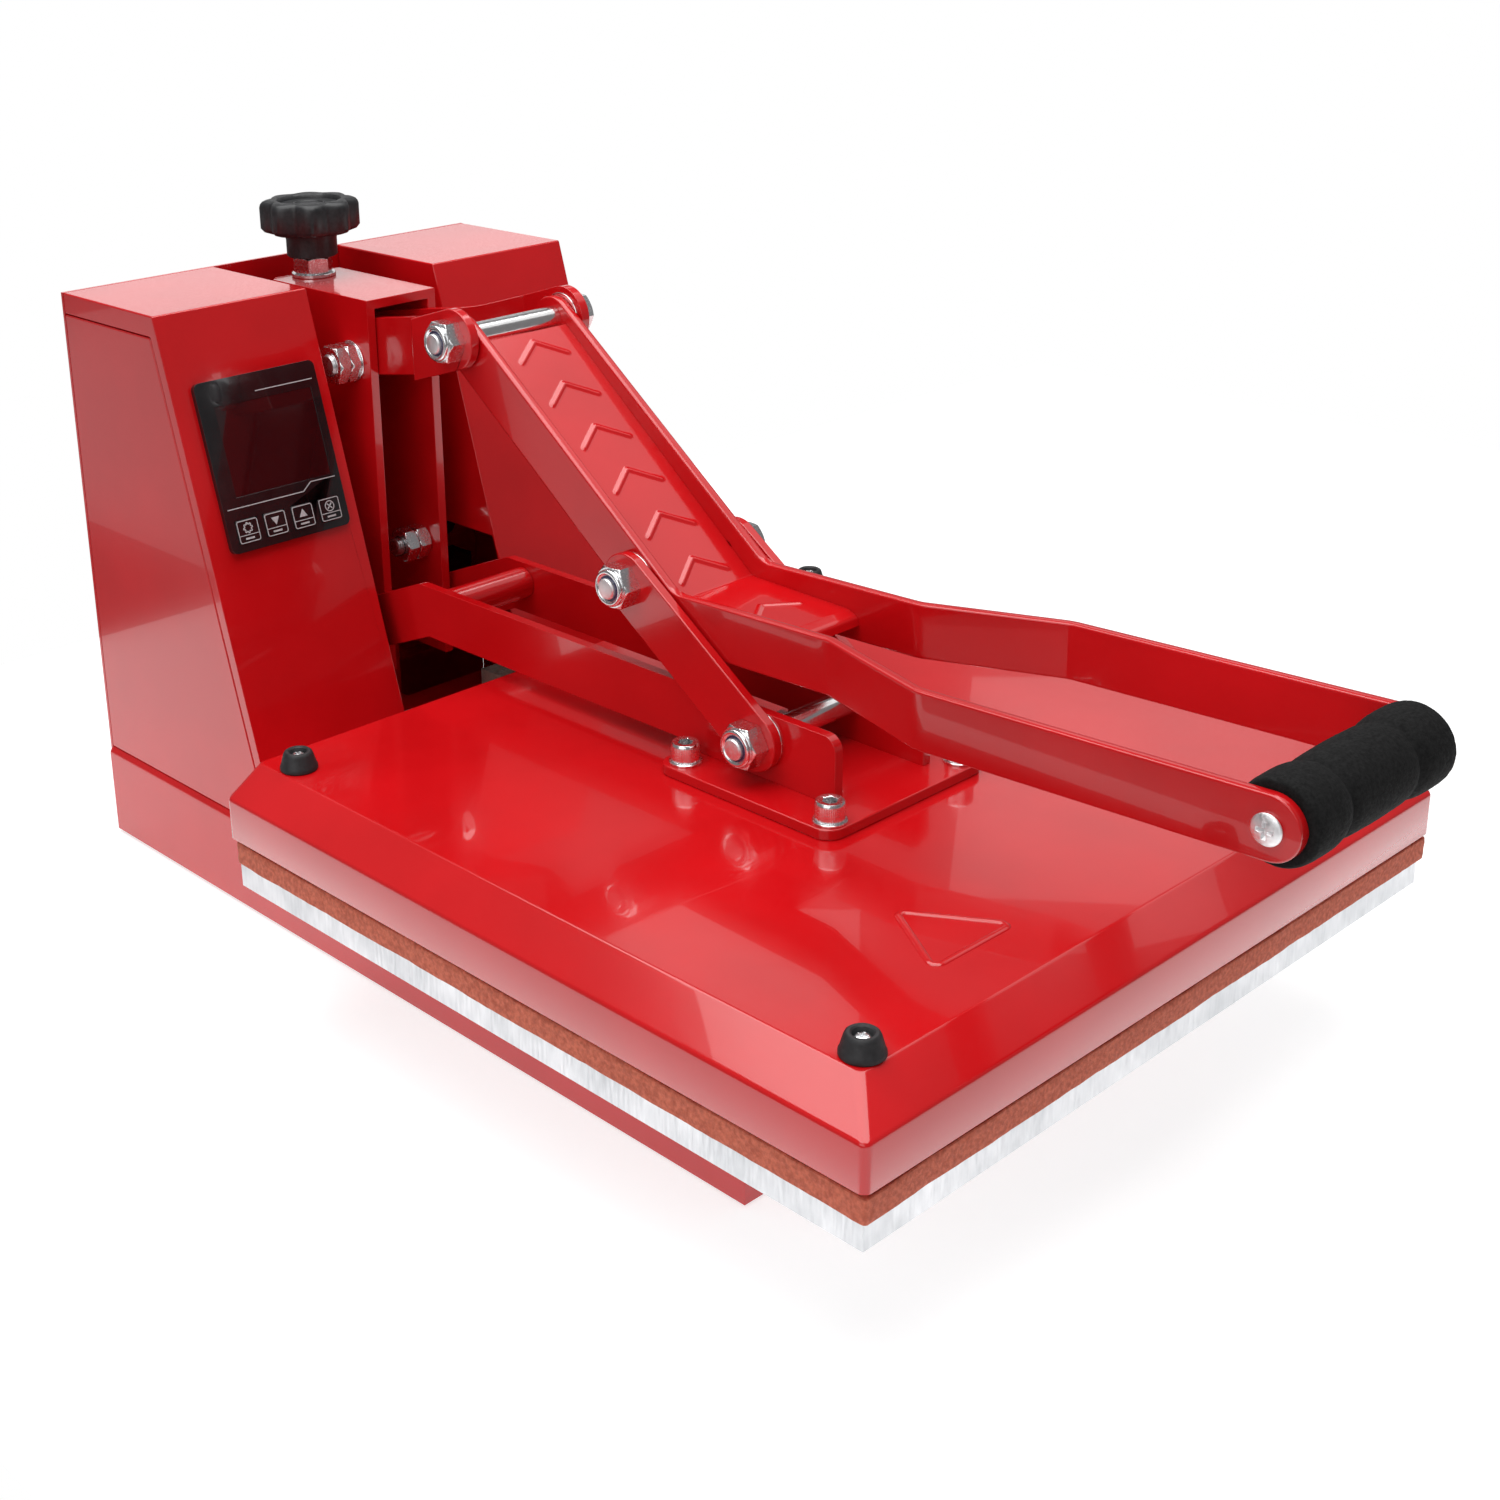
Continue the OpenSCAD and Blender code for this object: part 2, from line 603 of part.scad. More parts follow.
// Square cover form of half width h whose border slopes in by inset on the left and the front.
module cover_form(h, inset, z0, z1, z2) {
    profile = [[-h, z0], [-h, z1], [-h + inset, z2], [h, z2], [h, z0]];
    intersection() {
        across(-h - 1, h + 1) polygon(profile);
        translate([0, h + 1, 0]) rotate([90, 0, 0]) linear_extrude(2 * h + 2) polygon(profile);
    }
}
module heater_cover() color(red) placed() difference() {
    side_z = cover_z + cover_side_h;
    cover_form(cover_half, cover_inset, cover_z, side_z, cover_top);
    cover_form(cover_half - sheet, cover_inset, cover_z - 1, side_z, cover_top - sheet);
    cap_positions() translate([0, 0, cover_top - 10]) cylinder(r = 4.2, h = 20);
    translate([-4, cover_half - 10, cover_z - 1]) cube([16, 20, 14]);
}
module heating_platen() color("silver") placed() difference() {
    union() {
        slab(platen_side, heater_z, heater_t);
        cap_positions() translate([0, 0, heater_z + heater_t])
            cylinder(r = 10, h = cover_top - sheet - heater_z - heater_t);
    }
    cap_positions() translate([0, 0, heater_z + 5]) cylinder(r = 4, h = 60);
}
// Tubular element: long runs joined by half rings, lying on the upper platen.
module heating_element() color("#6c6f73") placed() translate([0, 0, heater_z + heater_t + 4]) {
    run = 125;
    pitch = 29;
    for (i = [-5:5]) translate([i * pitch, 0, 0]) rotate([90, 0, 0])
        cylinder(r = 4, h = 2 * run, center = true);
    for (i = [-5:4]) translate([(i + 0.5) * pitch, i % 2 == 0 ? run : -run, 0])
        rotate([0, 0, i % 2 == 0 ? 0 : 180])
            rotate_extrude(angle = 180) translate([pitch / 2, 0]) circle(4);
}
module insulation_blanket() color("#d9d2bd") placed() difference() {
    translate([-170, -170, heater_z + heater_t + 8.2]) cube([340, 340, 7]);
    cap_positions() translate([0, 0, 90]) cylinder(r = 10.4, h = 60);
    translate([-26, 120, 90]) cube([52, 60, 60]);
}
module thermostat() color("#cfcabd") placed() translate([0, 152, heater_z + heater_t]) {
    cylinder(d = 16, h = 9);
    for (s = [-1, 1]) translate([s * 5 - 1.6, -0.4, 9]) cube([3.2, 0.8, 6]);
    translate([-15, -4, 0]) cube([30, 8, 1.2]);
}
module cover_bumpers() color(black) placed() for (x = bumper_x, y = bumper_y)
    translate([x, y, cover_top]) difference() {
        cylinder(d1 = 17.4, d2 = 11.4, h = 9);
        translate([0, 0, 5]) cylinder(d = 7, h = 10);
    }
// Lower pivot bolt: ears, washers, links and nuts, head on the right.
module press_bolt() color(zinc) placed() {
    rod(press_pivot, bolt_r, -lap_out - nyloc_h - 1.2, lap_out + 1);
    mirror([1, 0, 0]) nyloc(press_pivot, lap_out + 0.2);
    hex_x(press_pivot, lap_out + 0.2, lap_out + 7.7);
    both() rod(press_pivot, wash_r + 1.5, plate_in + plate_t, lap_in - 0.2);
}
// Conduit from the upper platen, down behind the cover and into the left tower.
module heater_conduit() color(black) placed() {
    route = [[4, platen_side / 2 + 0.6, 98], [4, 214, 98], [1, 250, 85], [-16, 280, 72],
        [-40, conduit_bend[0], conduit_bend[1]], [-72, conduit_bend[0], conduit_bend[1]]];
    for (i = [0:len(route) - 2]) strand(route[i], route[i + 1], conduit_d / 2);
    for (i = [1:len(route) - 2]) translate(route[i]) sphere(d = conduit_d + 0.02);
}
// Cylinder between two points.
module strand(a, b, r) {
    d = b - a;
    translate(a) rotate([0, acos(d[2] / norm(d)), atan2(d[1], d[0])]) cylinder(r = r, h = norm(d));
}

// ---- toggle links ----
module toggle_links() color(red) placed() both() difference() {
    across(lap_in, lap_out) bar2d(press_pivot, link_pivot, link_w);
    rod(press_pivot, bolt_r + running, 0, 60);
    rod(link_pivot, bolt_r, 0, 60);
}
// Nuts and bolt ends that clamp the links to the upper pin.
module link_nuts() color(zinc) placed() {
    both() rod(link_pivot, bolt_r, lap_in, lap_out + 1);
    mirror([1, 0, 0]) {
        rod(link_pivot, bolt_r - 0.6, lap_out + 1, lap_out + nyloc_h + 1);
        nyloc(link_pivot, lap_out);
    }
    hex_x(link_pivot, lap_out, lap_out + 7.5);
}

base_shell();
base_floor();
feet();
tower_left();
tower_right();
side_cover_left();
side_cover_right();
rear_panel();
yoke();
yoke_lock_bolt();
rocker_pin();
hinge_pin();
hinge_bushes();
lower_platen();
silicone_pad();
platen_rails();
platen_screws();
controller_bezel();
display_window();
controller_board();
solid_state_relay();
terminal_block();
power_inlet();
fuse_holder();
switch_housing();
junction_box();
pressure_knob();
pressure_spindle();
jam_nut();
rocker_left();
rocker_right();
trunnion();
rocker_sleeve();
handle_bolt();
handle_left();
handle_right();
handle_web();
grip_tube();
grip_foam();
grip_screws();
toggle_studs();
head_arms();
cross_tube();
mounting_plate();
cap_screws();
heater_cover();
heating_platen();
heating_element();
insulation_blanket();
thermostat();
cover_bumpers();
press_bolt();
heater_conduit();
toggle_links();
link_nuts();
set_key();
down_key();
up_key();
clear_key();
switch_key();
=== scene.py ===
"""Heat press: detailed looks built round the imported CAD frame.

Lengths are in millimetres with Y counted from the centre of the platens and Z from the
bench; W() turns such a point into the row frame, in metres.
"""
import json
import math

import bmesh
import bpy
from mathutils import Matrix, Vector, noise


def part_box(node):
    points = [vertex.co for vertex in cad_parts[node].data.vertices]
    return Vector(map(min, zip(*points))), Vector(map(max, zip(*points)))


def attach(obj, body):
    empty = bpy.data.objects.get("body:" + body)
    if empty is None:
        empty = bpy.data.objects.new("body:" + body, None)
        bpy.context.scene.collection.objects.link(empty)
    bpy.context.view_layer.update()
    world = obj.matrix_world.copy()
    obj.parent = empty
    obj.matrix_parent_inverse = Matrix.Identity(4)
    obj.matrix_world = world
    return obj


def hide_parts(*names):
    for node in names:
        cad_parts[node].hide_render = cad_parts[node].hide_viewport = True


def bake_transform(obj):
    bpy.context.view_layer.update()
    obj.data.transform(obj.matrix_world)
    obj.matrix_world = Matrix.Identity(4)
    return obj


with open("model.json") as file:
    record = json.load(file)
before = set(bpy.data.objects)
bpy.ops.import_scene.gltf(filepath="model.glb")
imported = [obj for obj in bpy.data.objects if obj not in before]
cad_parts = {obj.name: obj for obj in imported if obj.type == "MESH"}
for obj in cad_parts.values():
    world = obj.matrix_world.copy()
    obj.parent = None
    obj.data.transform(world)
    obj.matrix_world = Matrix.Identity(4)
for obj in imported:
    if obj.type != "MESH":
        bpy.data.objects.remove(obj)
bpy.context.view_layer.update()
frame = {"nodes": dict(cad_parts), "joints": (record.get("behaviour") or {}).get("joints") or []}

MM = 0.001
bed_low, bed_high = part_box("lower_platen")
MID = (bed_low.y + bed_high.y) / 2


def W(x, y, z):
    """The point in the row frame, in metres."""
    return Vector((x * MM, y * MM + MID, z * MM))


def pivot(joint):
    """(y, z) of a joint's axis."""
    found = next(j for j in frame["joints"] if j["name"] == joint)
    y, z = found["pos_m"][1:]
    return ((y - MID) / MM, z / MM)


# ---- camera, floor and light ----
def add_camera():
    """Camera that stands where the photo was taken from."""
    place = (-0.65567, MID - 0.58418, 0.52655)
    heading, tilt, roll = -42.145, 70.649, -1.4846
    data = bpy.data.cameras.new("camera")
    data.lens = 50.864
    data.sensor_width = 36
    data.shift_x = 0.0944
    data.shift_y = -0.1160
    data.clip_end = 50
    ob = bpy.data.objects.new("camera", data)
    ob.matrix_world = (Matrix.Translation(place)
                       @ Matrix.Rotation(math.radians(heading), 4, "Z")
                       @ Matrix.Rotation(math.radians(tilt), 4, "X")
                       @ Matrix.Rotation(math.radians(roll), 4, "Z"))
    bpy.context.scene.collection.objects.link(ob)
    bpy.context.scene.camera = ob


def add_panel(name, place, aim, size, power):
    """Soft box at place, facing aim, seen by the surfaces and not by the camera."""
    data = bpy.data.lights.new(name, "AREA")
    data.shape = "RECTANGLE"
    data.size, data.size_y = size
    data.energy = power
    ob = bpy.data.objects.new(name, data)
    ob.location = place
    ob.rotation_euler = (Vector(aim) - Vector(place)).to_track_quat("-Z", "Y").to_euler()
    ob.visible_camera = False
    bpy.context.scene.collection.objects.link(ob)


def add_studio():
    """A grey room for the surfaces, a white one for the camera, a white floor and soft boxes."""
    world = bpy.data.worlds.new("studio")
    bpy.context.scene.world = world
    world.use_nodes = True
    tree = world.node_tree
    room = tree.nodes["Background"]
    room.inputs["Color"].default_value = (0.55, 0.53, 0.54, 1)
    room.inputs["Strength"].default_value = 0.34
    white = tree.nodes.new("ShaderNodeBackground")
    white.inputs["Color"].default_value = (1, 1, 1, 1)
    ray = tree.nodes.new("ShaderNodeLightPath")
    mix = tree.nodes.new("ShaderNodeMixShader")
    tree.links.new(ray.outputs["Is Camera Ray"], mix.inputs["Fac"])
    tree.links.new(room.outputs["Background"], mix.inputs[1])
    tree.links.new(white.outputs["Background"], mix.inputs[2])
    tree.links.new(mix.outputs["Shader"], tree.nodes["World Output"].inputs["Surface"])

    floor = bpy.data.meshes.new("floor")
    left, right, front, back = -0.42, 1.1, -0.8, 0.62
    corners = [(left, front, 0), (right, front, 0), (right, back, 0), (left, back, 0)]
    floor.from_pydata(corners, [], [(0, 1, 2, 3)])
    paper = bpy.data.materials.new("floor_paper")
    paper.use_nodes = True
    shader = paper.node_tree.nodes["Principled BSDF"]
    shader.inputs["Base Color"].default_value = (0.5, 0.5, 0.5, 1)
    shader.inputs["Roughness"].default_value = 0.9
    shader.inputs["Emission Color"].default_value = (1, 1, 1, 1)
    shader.inputs["Emission Strength"].default_value = 0.7
    floor.materials.append(paper)
    ob = bpy.data.objects.new("floor", floor)
    bpy.context.scene.collection.objects.link(ob)

    add_panel("overhead", (-0.1, 0.15, 1.9), (0, 0.05, 0.1), (2.3, 2.1), 50)
    add_panel("front_left", (-2.1, -0.7, 1.1), (0, 0, 0.2), (2.0, 1.6), 14)
    add_panel("table_end", (-0.76, 1.0, -0.01), (-0.76, 1.0, 1), (0.66, 1.3), 1.2)
    add_panel("far_wall", (1.27, 2.19, 0.76), (-0.05, 0.24, 0.32), (1.2, 0.32), 1.1)
    add_panel("right_sky", (1.20, -0.15, 1.50), (0, 0.06, 0.24), (1.0, 0.9), 2.2)
    add_panel("high_window", (1.20, 1.21, 1.24), (-0.14, -0.13, 0.12), (0.42, 0.22), 0.2)
    add_panel("side_window", (1.71, 0.87, 1.0), (0, -0.2, 0.12), (0.5, 0.35), 0.35)
    bpy.context.scene.view_settings.view_transform = "Standard"


# ---- materials ----
class Mat:
    """A Principled material built up from noise layers; scales are in waves per metre."""

    def __init__(self, name, color, rough, metal=0.0, **sockets):
        self.material = bpy.data.materials.new(name)
        self.material.use_nodes = True
        self.tree = self.material.node_tree
        self.shader = self.tree.nodes["Principled BSDF"]
        self.shader.inputs["Base Color"].default_value = (*color, 1)
        self.shader.inputs["Roughness"].default_value = rough
        self.shader.inputs["Metallic"].default_value = metal
        for key, value in sockets.items():
            self.shader.inputs[key.replace("_", " ")].default_value = value
        self.coord = self.tree.nodes.new("ShaderNodeTexCoord").outputs["Object"]
        self.normal = None

    def noise(self, scale, detail=2.0, stretch=(1, 1, 1)):
        mapping = self.tree.nodes.new("ShaderNodeMapping")
        mapping.inputs["Scale"].default_value = stretch
        self.tree.links.new(self.coord, mapping.inputs["Vector"])
        n = self.tree.nodes.new("ShaderNodeTexNoise")
        n.inputs["Scale"].default_value = scale
        n.inputs["Detail"].default_value = detail
        self.tree.links.new(mapping.outputs["Vector"], n.inputs["Vector"])
        return n.outputs["Fac"]

    def spread(self, value, low, high):
        """The middle of a noise's range, stretched over low to high."""
        m = self.tree.nodes.new("ShaderNodeMapRange")
        m.inputs["From Min"].default_value = 0.3
        m.inputs["From Max"].default_value = 0.7
        m.inputs["To Min"].default_value = low
        m.inputs["To Max"].default_value = high
        self.tree.links.new(value, m.inputs["Value"])
        return m.outputs["Result"]

    def color(self, value, *stops):
        """Base colour from (position, colour) stops."""
        ramp = self.tree.nodes.new("ShaderNodeValToRGB")
        while len(ramp.color_ramp.elements) < len(stops):
            ramp.color_ramp.elements.new(0.5)
        for e, (at, color) in zip(ramp.color_ramp.elements, stops):
            e.position = at
            e.color = (*color, 1)
        self.tree.links.new(value, ramp.inputs["Fac"])
        self.tree.links.new(ramp.outputs["Color"], self.shader.inputs["Base Color"])
        return self

    def rough(self, value, low, high):
        self.tree.links.new(self.spread(value, low, high), self.shader.inputs["Roughness"])
        return self

    def bump(self, value, depth):
        """Adds a bump whose full height is depth millimetres, on top of any before it."""
        n = self.tree.nodes.new("ShaderNodeBump")
        n.inputs["Distance"].default_value = depth * MM
        self.tree.links.new(value, n.inputs["Height"])
        if self.normal is not None:
            self.tree.links.new(self.normal, n.inputs["Normal"])
        self.normal = n.outputs["Normal"]
        self.tree.links.new(self.normal, self.shader.inputs["Normal"])
        return self


def red_paint(name, ripple, sag=0.0):
    """Gloss powder coat: ripple is the depth of its orange peel, sag of the sheet's waves."""
    m = Mat(name, (0.56, 0.004, 0.007), 0.16, Coat_Weight=0.5, Coat_Roughness=0.02)
    m.color(m.noise(14, 3), (0.35, (0.53, 0.004, 0.006)), (0.65, (0.60, 0.005, 0.008)))
    m.rough(m.noise(900, 2), 0.13, 0.21)
    if sag:
        m.bump(m.noise(18, 1), sag)
    m.bump(m.noise(190, 1.5), ripple)
    m.bump(m.noise(1300, 2), ripple * 0.08)
    return m.material


def plated(name, tint, rough, scratch=0.004):
    """Bare or plated metal with fine scratches of that depth."""
    m = Mat(name, tint, rough, 1.0)
    m.color(m.noise(130, 3), (0.3, tuple(0.88 * c for c in tint)), (0.7, tint))
    m.rough(m.noise(900, 4), rough * 0.7, rough * 1.5)
    m.bump(m.noise(2500, 3), scratch)
    return m.material


def grainy(name, low, high, rough, grain, depth, **sockets):
    """Two-toned surface with a fine grain: plastics, rubber, foam and mats."""
    m = Mat(name, high, rough, **sockets)
    m.color(m.noise(grain * 0.35, 4), (0.35, low), (0.65, high))
    m.rough(m.noise(grain * 0.6, 2), rough * 0.85, min(1.0, rough * 1.15))
    m.bump(m.noise(grain, 3), depth)
    return m.material


def sawn_aluminium():
    """Dull plate whose saw marks run upright."""
    m = Mat("sawn_aluminium", (0.8, 0.81, 0.83), 0.45, 1.0)
    streak = m.noise(700, 3, (1, 1, 0.12))
    m.color(m.noise(40, 5), (0.3, (0.66, 0.68, 0.70)), (0.7, (0.86, 0.87, 0.89)))
    m.rough(streak, 0.36, 0.62)
    m.bump(streak, 0.06)
    m.bump(m.noise(55, 4), 0.15)
    return m.material


def woven(name, low, high, pitch):
    """Braided sleeve: two sets of strands that cross."""
    m = Mat(name, high, 0.75, Sheen_Weight=0.2)
    fields = []
    for turn in (0.8, -0.8):
        mapping = m.tree.nodes.new("ShaderNodeMapping")
        mapping.inputs["Rotation"].default_value = (0, turn, turn)
        m.tree.links.new(m.coord, mapping.inputs["Vector"])
        wave = m.tree.nodes.new("ShaderNodeTexWave")
        wave.inputs["Scale"].default_value = 0.314 / (pitch * MM)
        wave.inputs["Distortion"].default_value = 0.4
        m.tree.links.new(mapping.outputs["Vector"], wave.inputs["Vector"])
        fields.append(wave.outputs["Fac"])
    top = m.tree.nodes.new("ShaderNodeMath")
    top.operation = "MAXIMUM"
    m.tree.links.new(fields[0], top.inputs[0])
    m.tree.links.new(fields[1], top.inputs[1])
    m.color(top.outputs[0], (0.3, low), (0.95, high))
    m.bump(top.outputs[0], 0.5)
    return m.material


RED = red_paint("red_powder_coat", 0.020)
RED_SHEET = red_paint("red_powder_coat_sheet", 0.020, 0.14)
ZINC = plated("zinc_plate", (0.90, 0.91, 0.92), 0.20, 0.001)
THREAD = plated("zinc_thread", (0.60, 0.60, 0.61), 0.3, 0.001)
CHROME = plated("polished_steel", (0.93, 0.93, 0.93), 0.16, 0.002)
BRIGHT = plated("bright_screw", (0.95, 0.95, 0.96), 0.42, 0.002)
STEEL = plated("machined_steel", (0.52, 0.53, 0.55), 0.34)
BRONZE = plated("bronze", (0.55, 0.38, 0.18), 0.35)
ALU = sawn_aluminium()
NYLON = grainy("nylon_insert", (0.020, 0.020, 0.06), (0.04, 0.04, 0.11), 0.4, 1500, 0.01)
SILICONE = grainy("silicone_sponge", (0.42, 0.085, 0.045), (0.62, 0.15, 0.085), 0.8, 1500, 0.2)
FOAM = grainy("grip_foam", (0.003, 0.003, 0.003), (0.009, 0.009, 0.009), 0.95, 1500, 0.25,
              Specular_IOR_Level=0.25)
RUBBER = grainy("black_rubber", (0.010, 0.010, 0.011), (0.020, 0.020, 0.022), 0.55, 900, 0.03)
PLASTIC = grainy("moulded_plastic", (0.011, 0.012, 0.013), (0.021, 0.022, 0.024), 0.42, 1600,
                 0.03)
BLACK_STEEL = grainy("black_steel", (0.010, 0.010, 0.010), (0.020, 0.020, 0.020), 0.5, 700,
                     0.02)
GLOSS = grainy("gloss_panel", (0.006, 0.006, 0.007), (0.010, 0.010, 0.011), 0.14, 300, 0.001,
               Coat_Weight=0.5, Coat_Roughness=0.03)
GLASS = grainy("display_glass", (0.014, 0.003, 0.004), (0.024, 0.004, 0.005), 0.07, 40, 0.0005,
               Coat_Weight=1.0, Coat_Roughness=0.02)
PRINT = grainy("grey_print", (0.40, 0.40, 0.41), (0.55, 0.55, 0.56), 0.45, 2500, 0.002)
PCB = grainy("circuit_board", (0.010, 0.06, 0.03), (0.02, 0.11, 0.05), 0.4, 700, 0.03)
PALE = grainy("pale_plastic", (0.52, 0.50, 0.43), (0.66, 0.63, 0.54), 0.5, 900, 0.02)
BLANKET = grainy("fibre_blanket", (0.50, 0.45, 0.36), (0.74, 0.69, 0.58), 0.95, 500, 0.8)
SWITCH_RED = grainy("red_plastic", (0.30, 0.01, 0.01), (0.38, 0.016, 0.014), 0.3, 1200, 0.01)
SLEEVE = woven("woven_sleeve", (0.003, 0.003, 0.003), (0.030, 0.030, 0.031), 1.6)


# ---- mesh helpers ----
class Shape:
    """Gathers closed solids and becomes one piece."""

    def __init__(self):
        self.verts, self.faces, self.slots = [], [], []

    def add(self, solid, mat=0, place=Matrix.Identity(4)):
        """Adds (points, faces); points of one solid that coincide are joined."""
        index, remap = {}, []
        for p in solid[0]:
            key = tuple(round(c, 4) for c in p)
            if key not in index:
                index[key] = len(self.verts)
                self.verts.append(place @ Vector(p))
            remap.append(index[key])
        for face in solid[1]:
            ids = [remap[i] for i in face]
            ids = [a for a, b in zip(ids, ids[1:] + ids[:1]) if a != b]
            if len(set(ids)) > 2:
                self.faces.append(ids)
                self.slots.append(mat)
        return self

    def piece(self, name, body, slot, mats, *replaced, sharp=32):
        me = bpy.data.meshes.new(name)
        me.from_pydata([W(*p) for p in self.verts], [], self.faces)
        for m in mats:
            me.materials.append(m)
        me.polygons.foreach_set("material_index", self.slots)
        bm = bmesh.new()
        bm.from_mesh(me)
        bmesh.ops.recalc_face_normals(bm, faces=bm.faces)
        bm.to_mesh(me)
        bm.free()
        me.shade_smooth()
        me.set_sharp_from_angle(angle=math.radians(sharp))
        ob = bpy.data.objects.new(name, me)
        bpy.context.scene.collection.objects.link(ob)
        if body:
            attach(ob, body)
        if replaced:
            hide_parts(*replaced)
        return ob


def rings(loops, closed=False):
    """Skin over equal loops of points, capped at both ends or joined into a ring."""
    n = len(loops[0])
    points = [p for loop in loops for p in loop]
    faces = []
    for i in range(len(loops) if closed else len(loops) - 1):
        a, b = i * n, (i + 1) % len(loops) * n
        faces += [(a + k, a + (k + 1) % n, b + (k + 1) % n, b + k) for k in range(n)]
    if not closed:
        faces += [tuple(range(n)), tuple(range(len(points) - n, len(points)))]
    return points, faces


# Forms scale a radius by the angle a about the axis.
def round_form(a):
    return 1.0


def hex_form(a):
    return 1 / math.cos((a + math.pi / 6) % (math.pi / 3) - math.pi / 6)


def knurl_form(a):
    return 1 - 0.02 * (1 + math.cos(48 * a))


def turned(levels, seg=72, closed=False):
    """Solid about Z through (radius, height[, form]) levels; a form scales by angle."""
    loops = []
    for r, z, *form in levels:
        f = form[0] if form else round_form
        loop = []
        for k in range(seg):
            a = 2 * math.pi * k / seg
            loop.append((r * f(a) * math.cos(a), r * f(a) * math.sin(a), z))
        loops.append(loop)
    return rings(loops, closed)


def arc(cx, cy, r, start, end, n=5):
    """Points from start to end degrees round (cx, cy)."""
    out = []
    for i in range(n + 1):
        a = math.radians(start + (end - start) * i / n)
        out.append((cx + r * math.cos(a), cy + r * math.sin(a)))
    return out


def soften(points, r, n=6):
    """A polyline whose inner corners are rounded to radius r."""
    out = [points[0]]
    for before, here, after in zip(points, points[1:], points[2:]):
        p = Vector(here)
        a, b = (Vector(before) - p).normalized(), (Vector(after) - p).normalized()
        half = a.angle(b) / 2
        start, end = p + a * r / math.tan(half), p + b * r / math.tan(half)
        centre = p + (a + b).normalized() * r / math.sin(half)
        for k in range(n + 1):
            d = (start - centre).lerp(end - centre, k / n)
            out.append(tuple(centre + d.normalized() * r))
    return out + [points[-1]]


def resample(points, step):
    """Points about one step apart along a polyline."""
    out = []
    for p, q in zip(points, points[1:]):
        p, q = Vector(p), Vector(q)
        n = max(1, round((q - p).length / step))
        out += [p.lerp(q, k / n) for k in range(n)]
    return out + [Vector(points[-1])]


def square_loop(half_x, half_y, r, z, n):
    """Rounded rectangle about the Z axis."""
    loop = []
    for cx, cy, start in ((1, 1, 0), (-1, 1, 90), (-1, -1, 180), (1, -1, 270)):
        corner = arc(cx * (half_x - r), cy * (half_y - r), r, start, start + 90, n)
        loop += [(x, y, z) for x, y in corner]
    return loop


BOLT_R = 6.0
NUT_AF = 19.0


def hex_level(inradius, z, height, low):
    """Hexagon level whose corners are turned off by a cone at the top and, if low, below."""
    cone = 0.16
    limit = 1.0 + cone * (height - z)
    if low:
        limit = min(limit, 1.0 + cone * z)
    return (inradius, z, lambda a: min(hex_form(a), limit))


def hexagon(af, height, low=True):
    """Nut or bolt head of that width across its flats, standing on z = 0."""
    face_r = af / 2 - 1.2
    steps = (0.0, 0.25, 0.5, 0.75, 1.0)
    zs = sorted({*steps, *(height - z for z in steps)})
    levels = [hex_level(af / 2, z, height, low) for z in zs]
    if low:
        levels.insert(0, (face_r, 0))
    return turned([(0, 0)] + levels + [(face_r, height), (0, height)], 96)


def disc(r_out, r_in, t, edge=0.25):
    """Washer or collar standing on z = 0."""
    return turned([(r_in, 0), (r_out - edge, 0), (r_out, edge), (r_out, t - edge),
                   (r_out - edge, t), (r_in, t)], 64, closed=True)


def bar(r, z0, z1, edge=0.6):
    """Round bar with a chamfer at each end."""
    return turned([(0, z0), (r - edge, z0), (r, z0 + edge), (r, z1 - edge), (r - edge, z1),
                   (0, z1)], 48)


def threaded(r, z0, z1, pitch=1.75):
    """Bar with a ridge for each turn of its thread."""
    root = r - 0.9
    levels, z = [(0, z0)], z0
    while z < z1 - pitch:
        levels += [(root, z), (r, z + pitch * 0.4), (r, z + pitch * 0.6)]
        z += pitch
    return turned(levels + [(root, z1), (0, z1)], 40)


def nyloc(shape, place):
    """Nyloc nut with a rounded collar and flush bolt end; slots 0 metal, 1 nylon, 2 bolt end."""
    shape.add(hexagon(NUT_AF, 8.6, low=False), 0, place)
    collar = [(8.6, 7.6), (8.8, 9.4)] + arc(7.5, 9.5, 1.3, 0, 150, 9) + [(6.1, 10.0), (6.1, 7.6)]
    shape.add(turned(collar, 96, closed=True), 0, place)
    shape.add(turned([(6.15, 9), (6.15, 9.9), (4.9, 9.9), (4.9, 9)], 64, closed=True), 1, place)
    shape.add(turned([(0, 3), (4.95, 3), (4.95, 11.3), (4.4, 12.0), (4.1, 12.1), (0, 12.1)], 64),
              2, place)


def bolt_head(shape, place):
    """Hexagon head as wide as the nuts."""
    shape.add(hexagon(NUT_AF, 7.5, low=False), 0, place)


def plain_nut(shape, place, af, height, hole):
    """Hexagon nut with the ring of its thread showing at the hole."""
    shape.add(hexagon(af, height), 0, place)
    shape.add(disc(hole + 0.9, hole - 0.3, height + 0.15, 0.1), 0, place)


def cross_head(shape, place, r, h, mat=0):
    """Domed screw head with a cross recess, standing on z = 0."""
    recess = 0.55
    turns = [math.pi * k / 48 for k in range(96)]
    loops = [[(0.9 * r * math.cos(a), 0.9 * r * math.sin(a), 0) for a in turns]]
    for i in range(27):
        t = math.pi / 2 * i / 26
        rr = r * math.cos(t)
        loop = []
        for a in turns:
            x, y = rr * math.cos(a), rr * math.sin(a)
            z = h * (0.35 + 0.65 * math.sin(t))
            off = min(abs(x), abs(y))
            far = max(abs(x), abs(y))
            cut = min(1.0, max(0.0, (0.15 * r - off) / (0.05 * r)))
            cut *= min(1.0, max(0.0, (recess * r - far) / (0.12 * r)))
            loop.append((x, y, z - cut * h * 0.5))
        loops.append(loop)
    shape.add(rings(loops), mat, place)


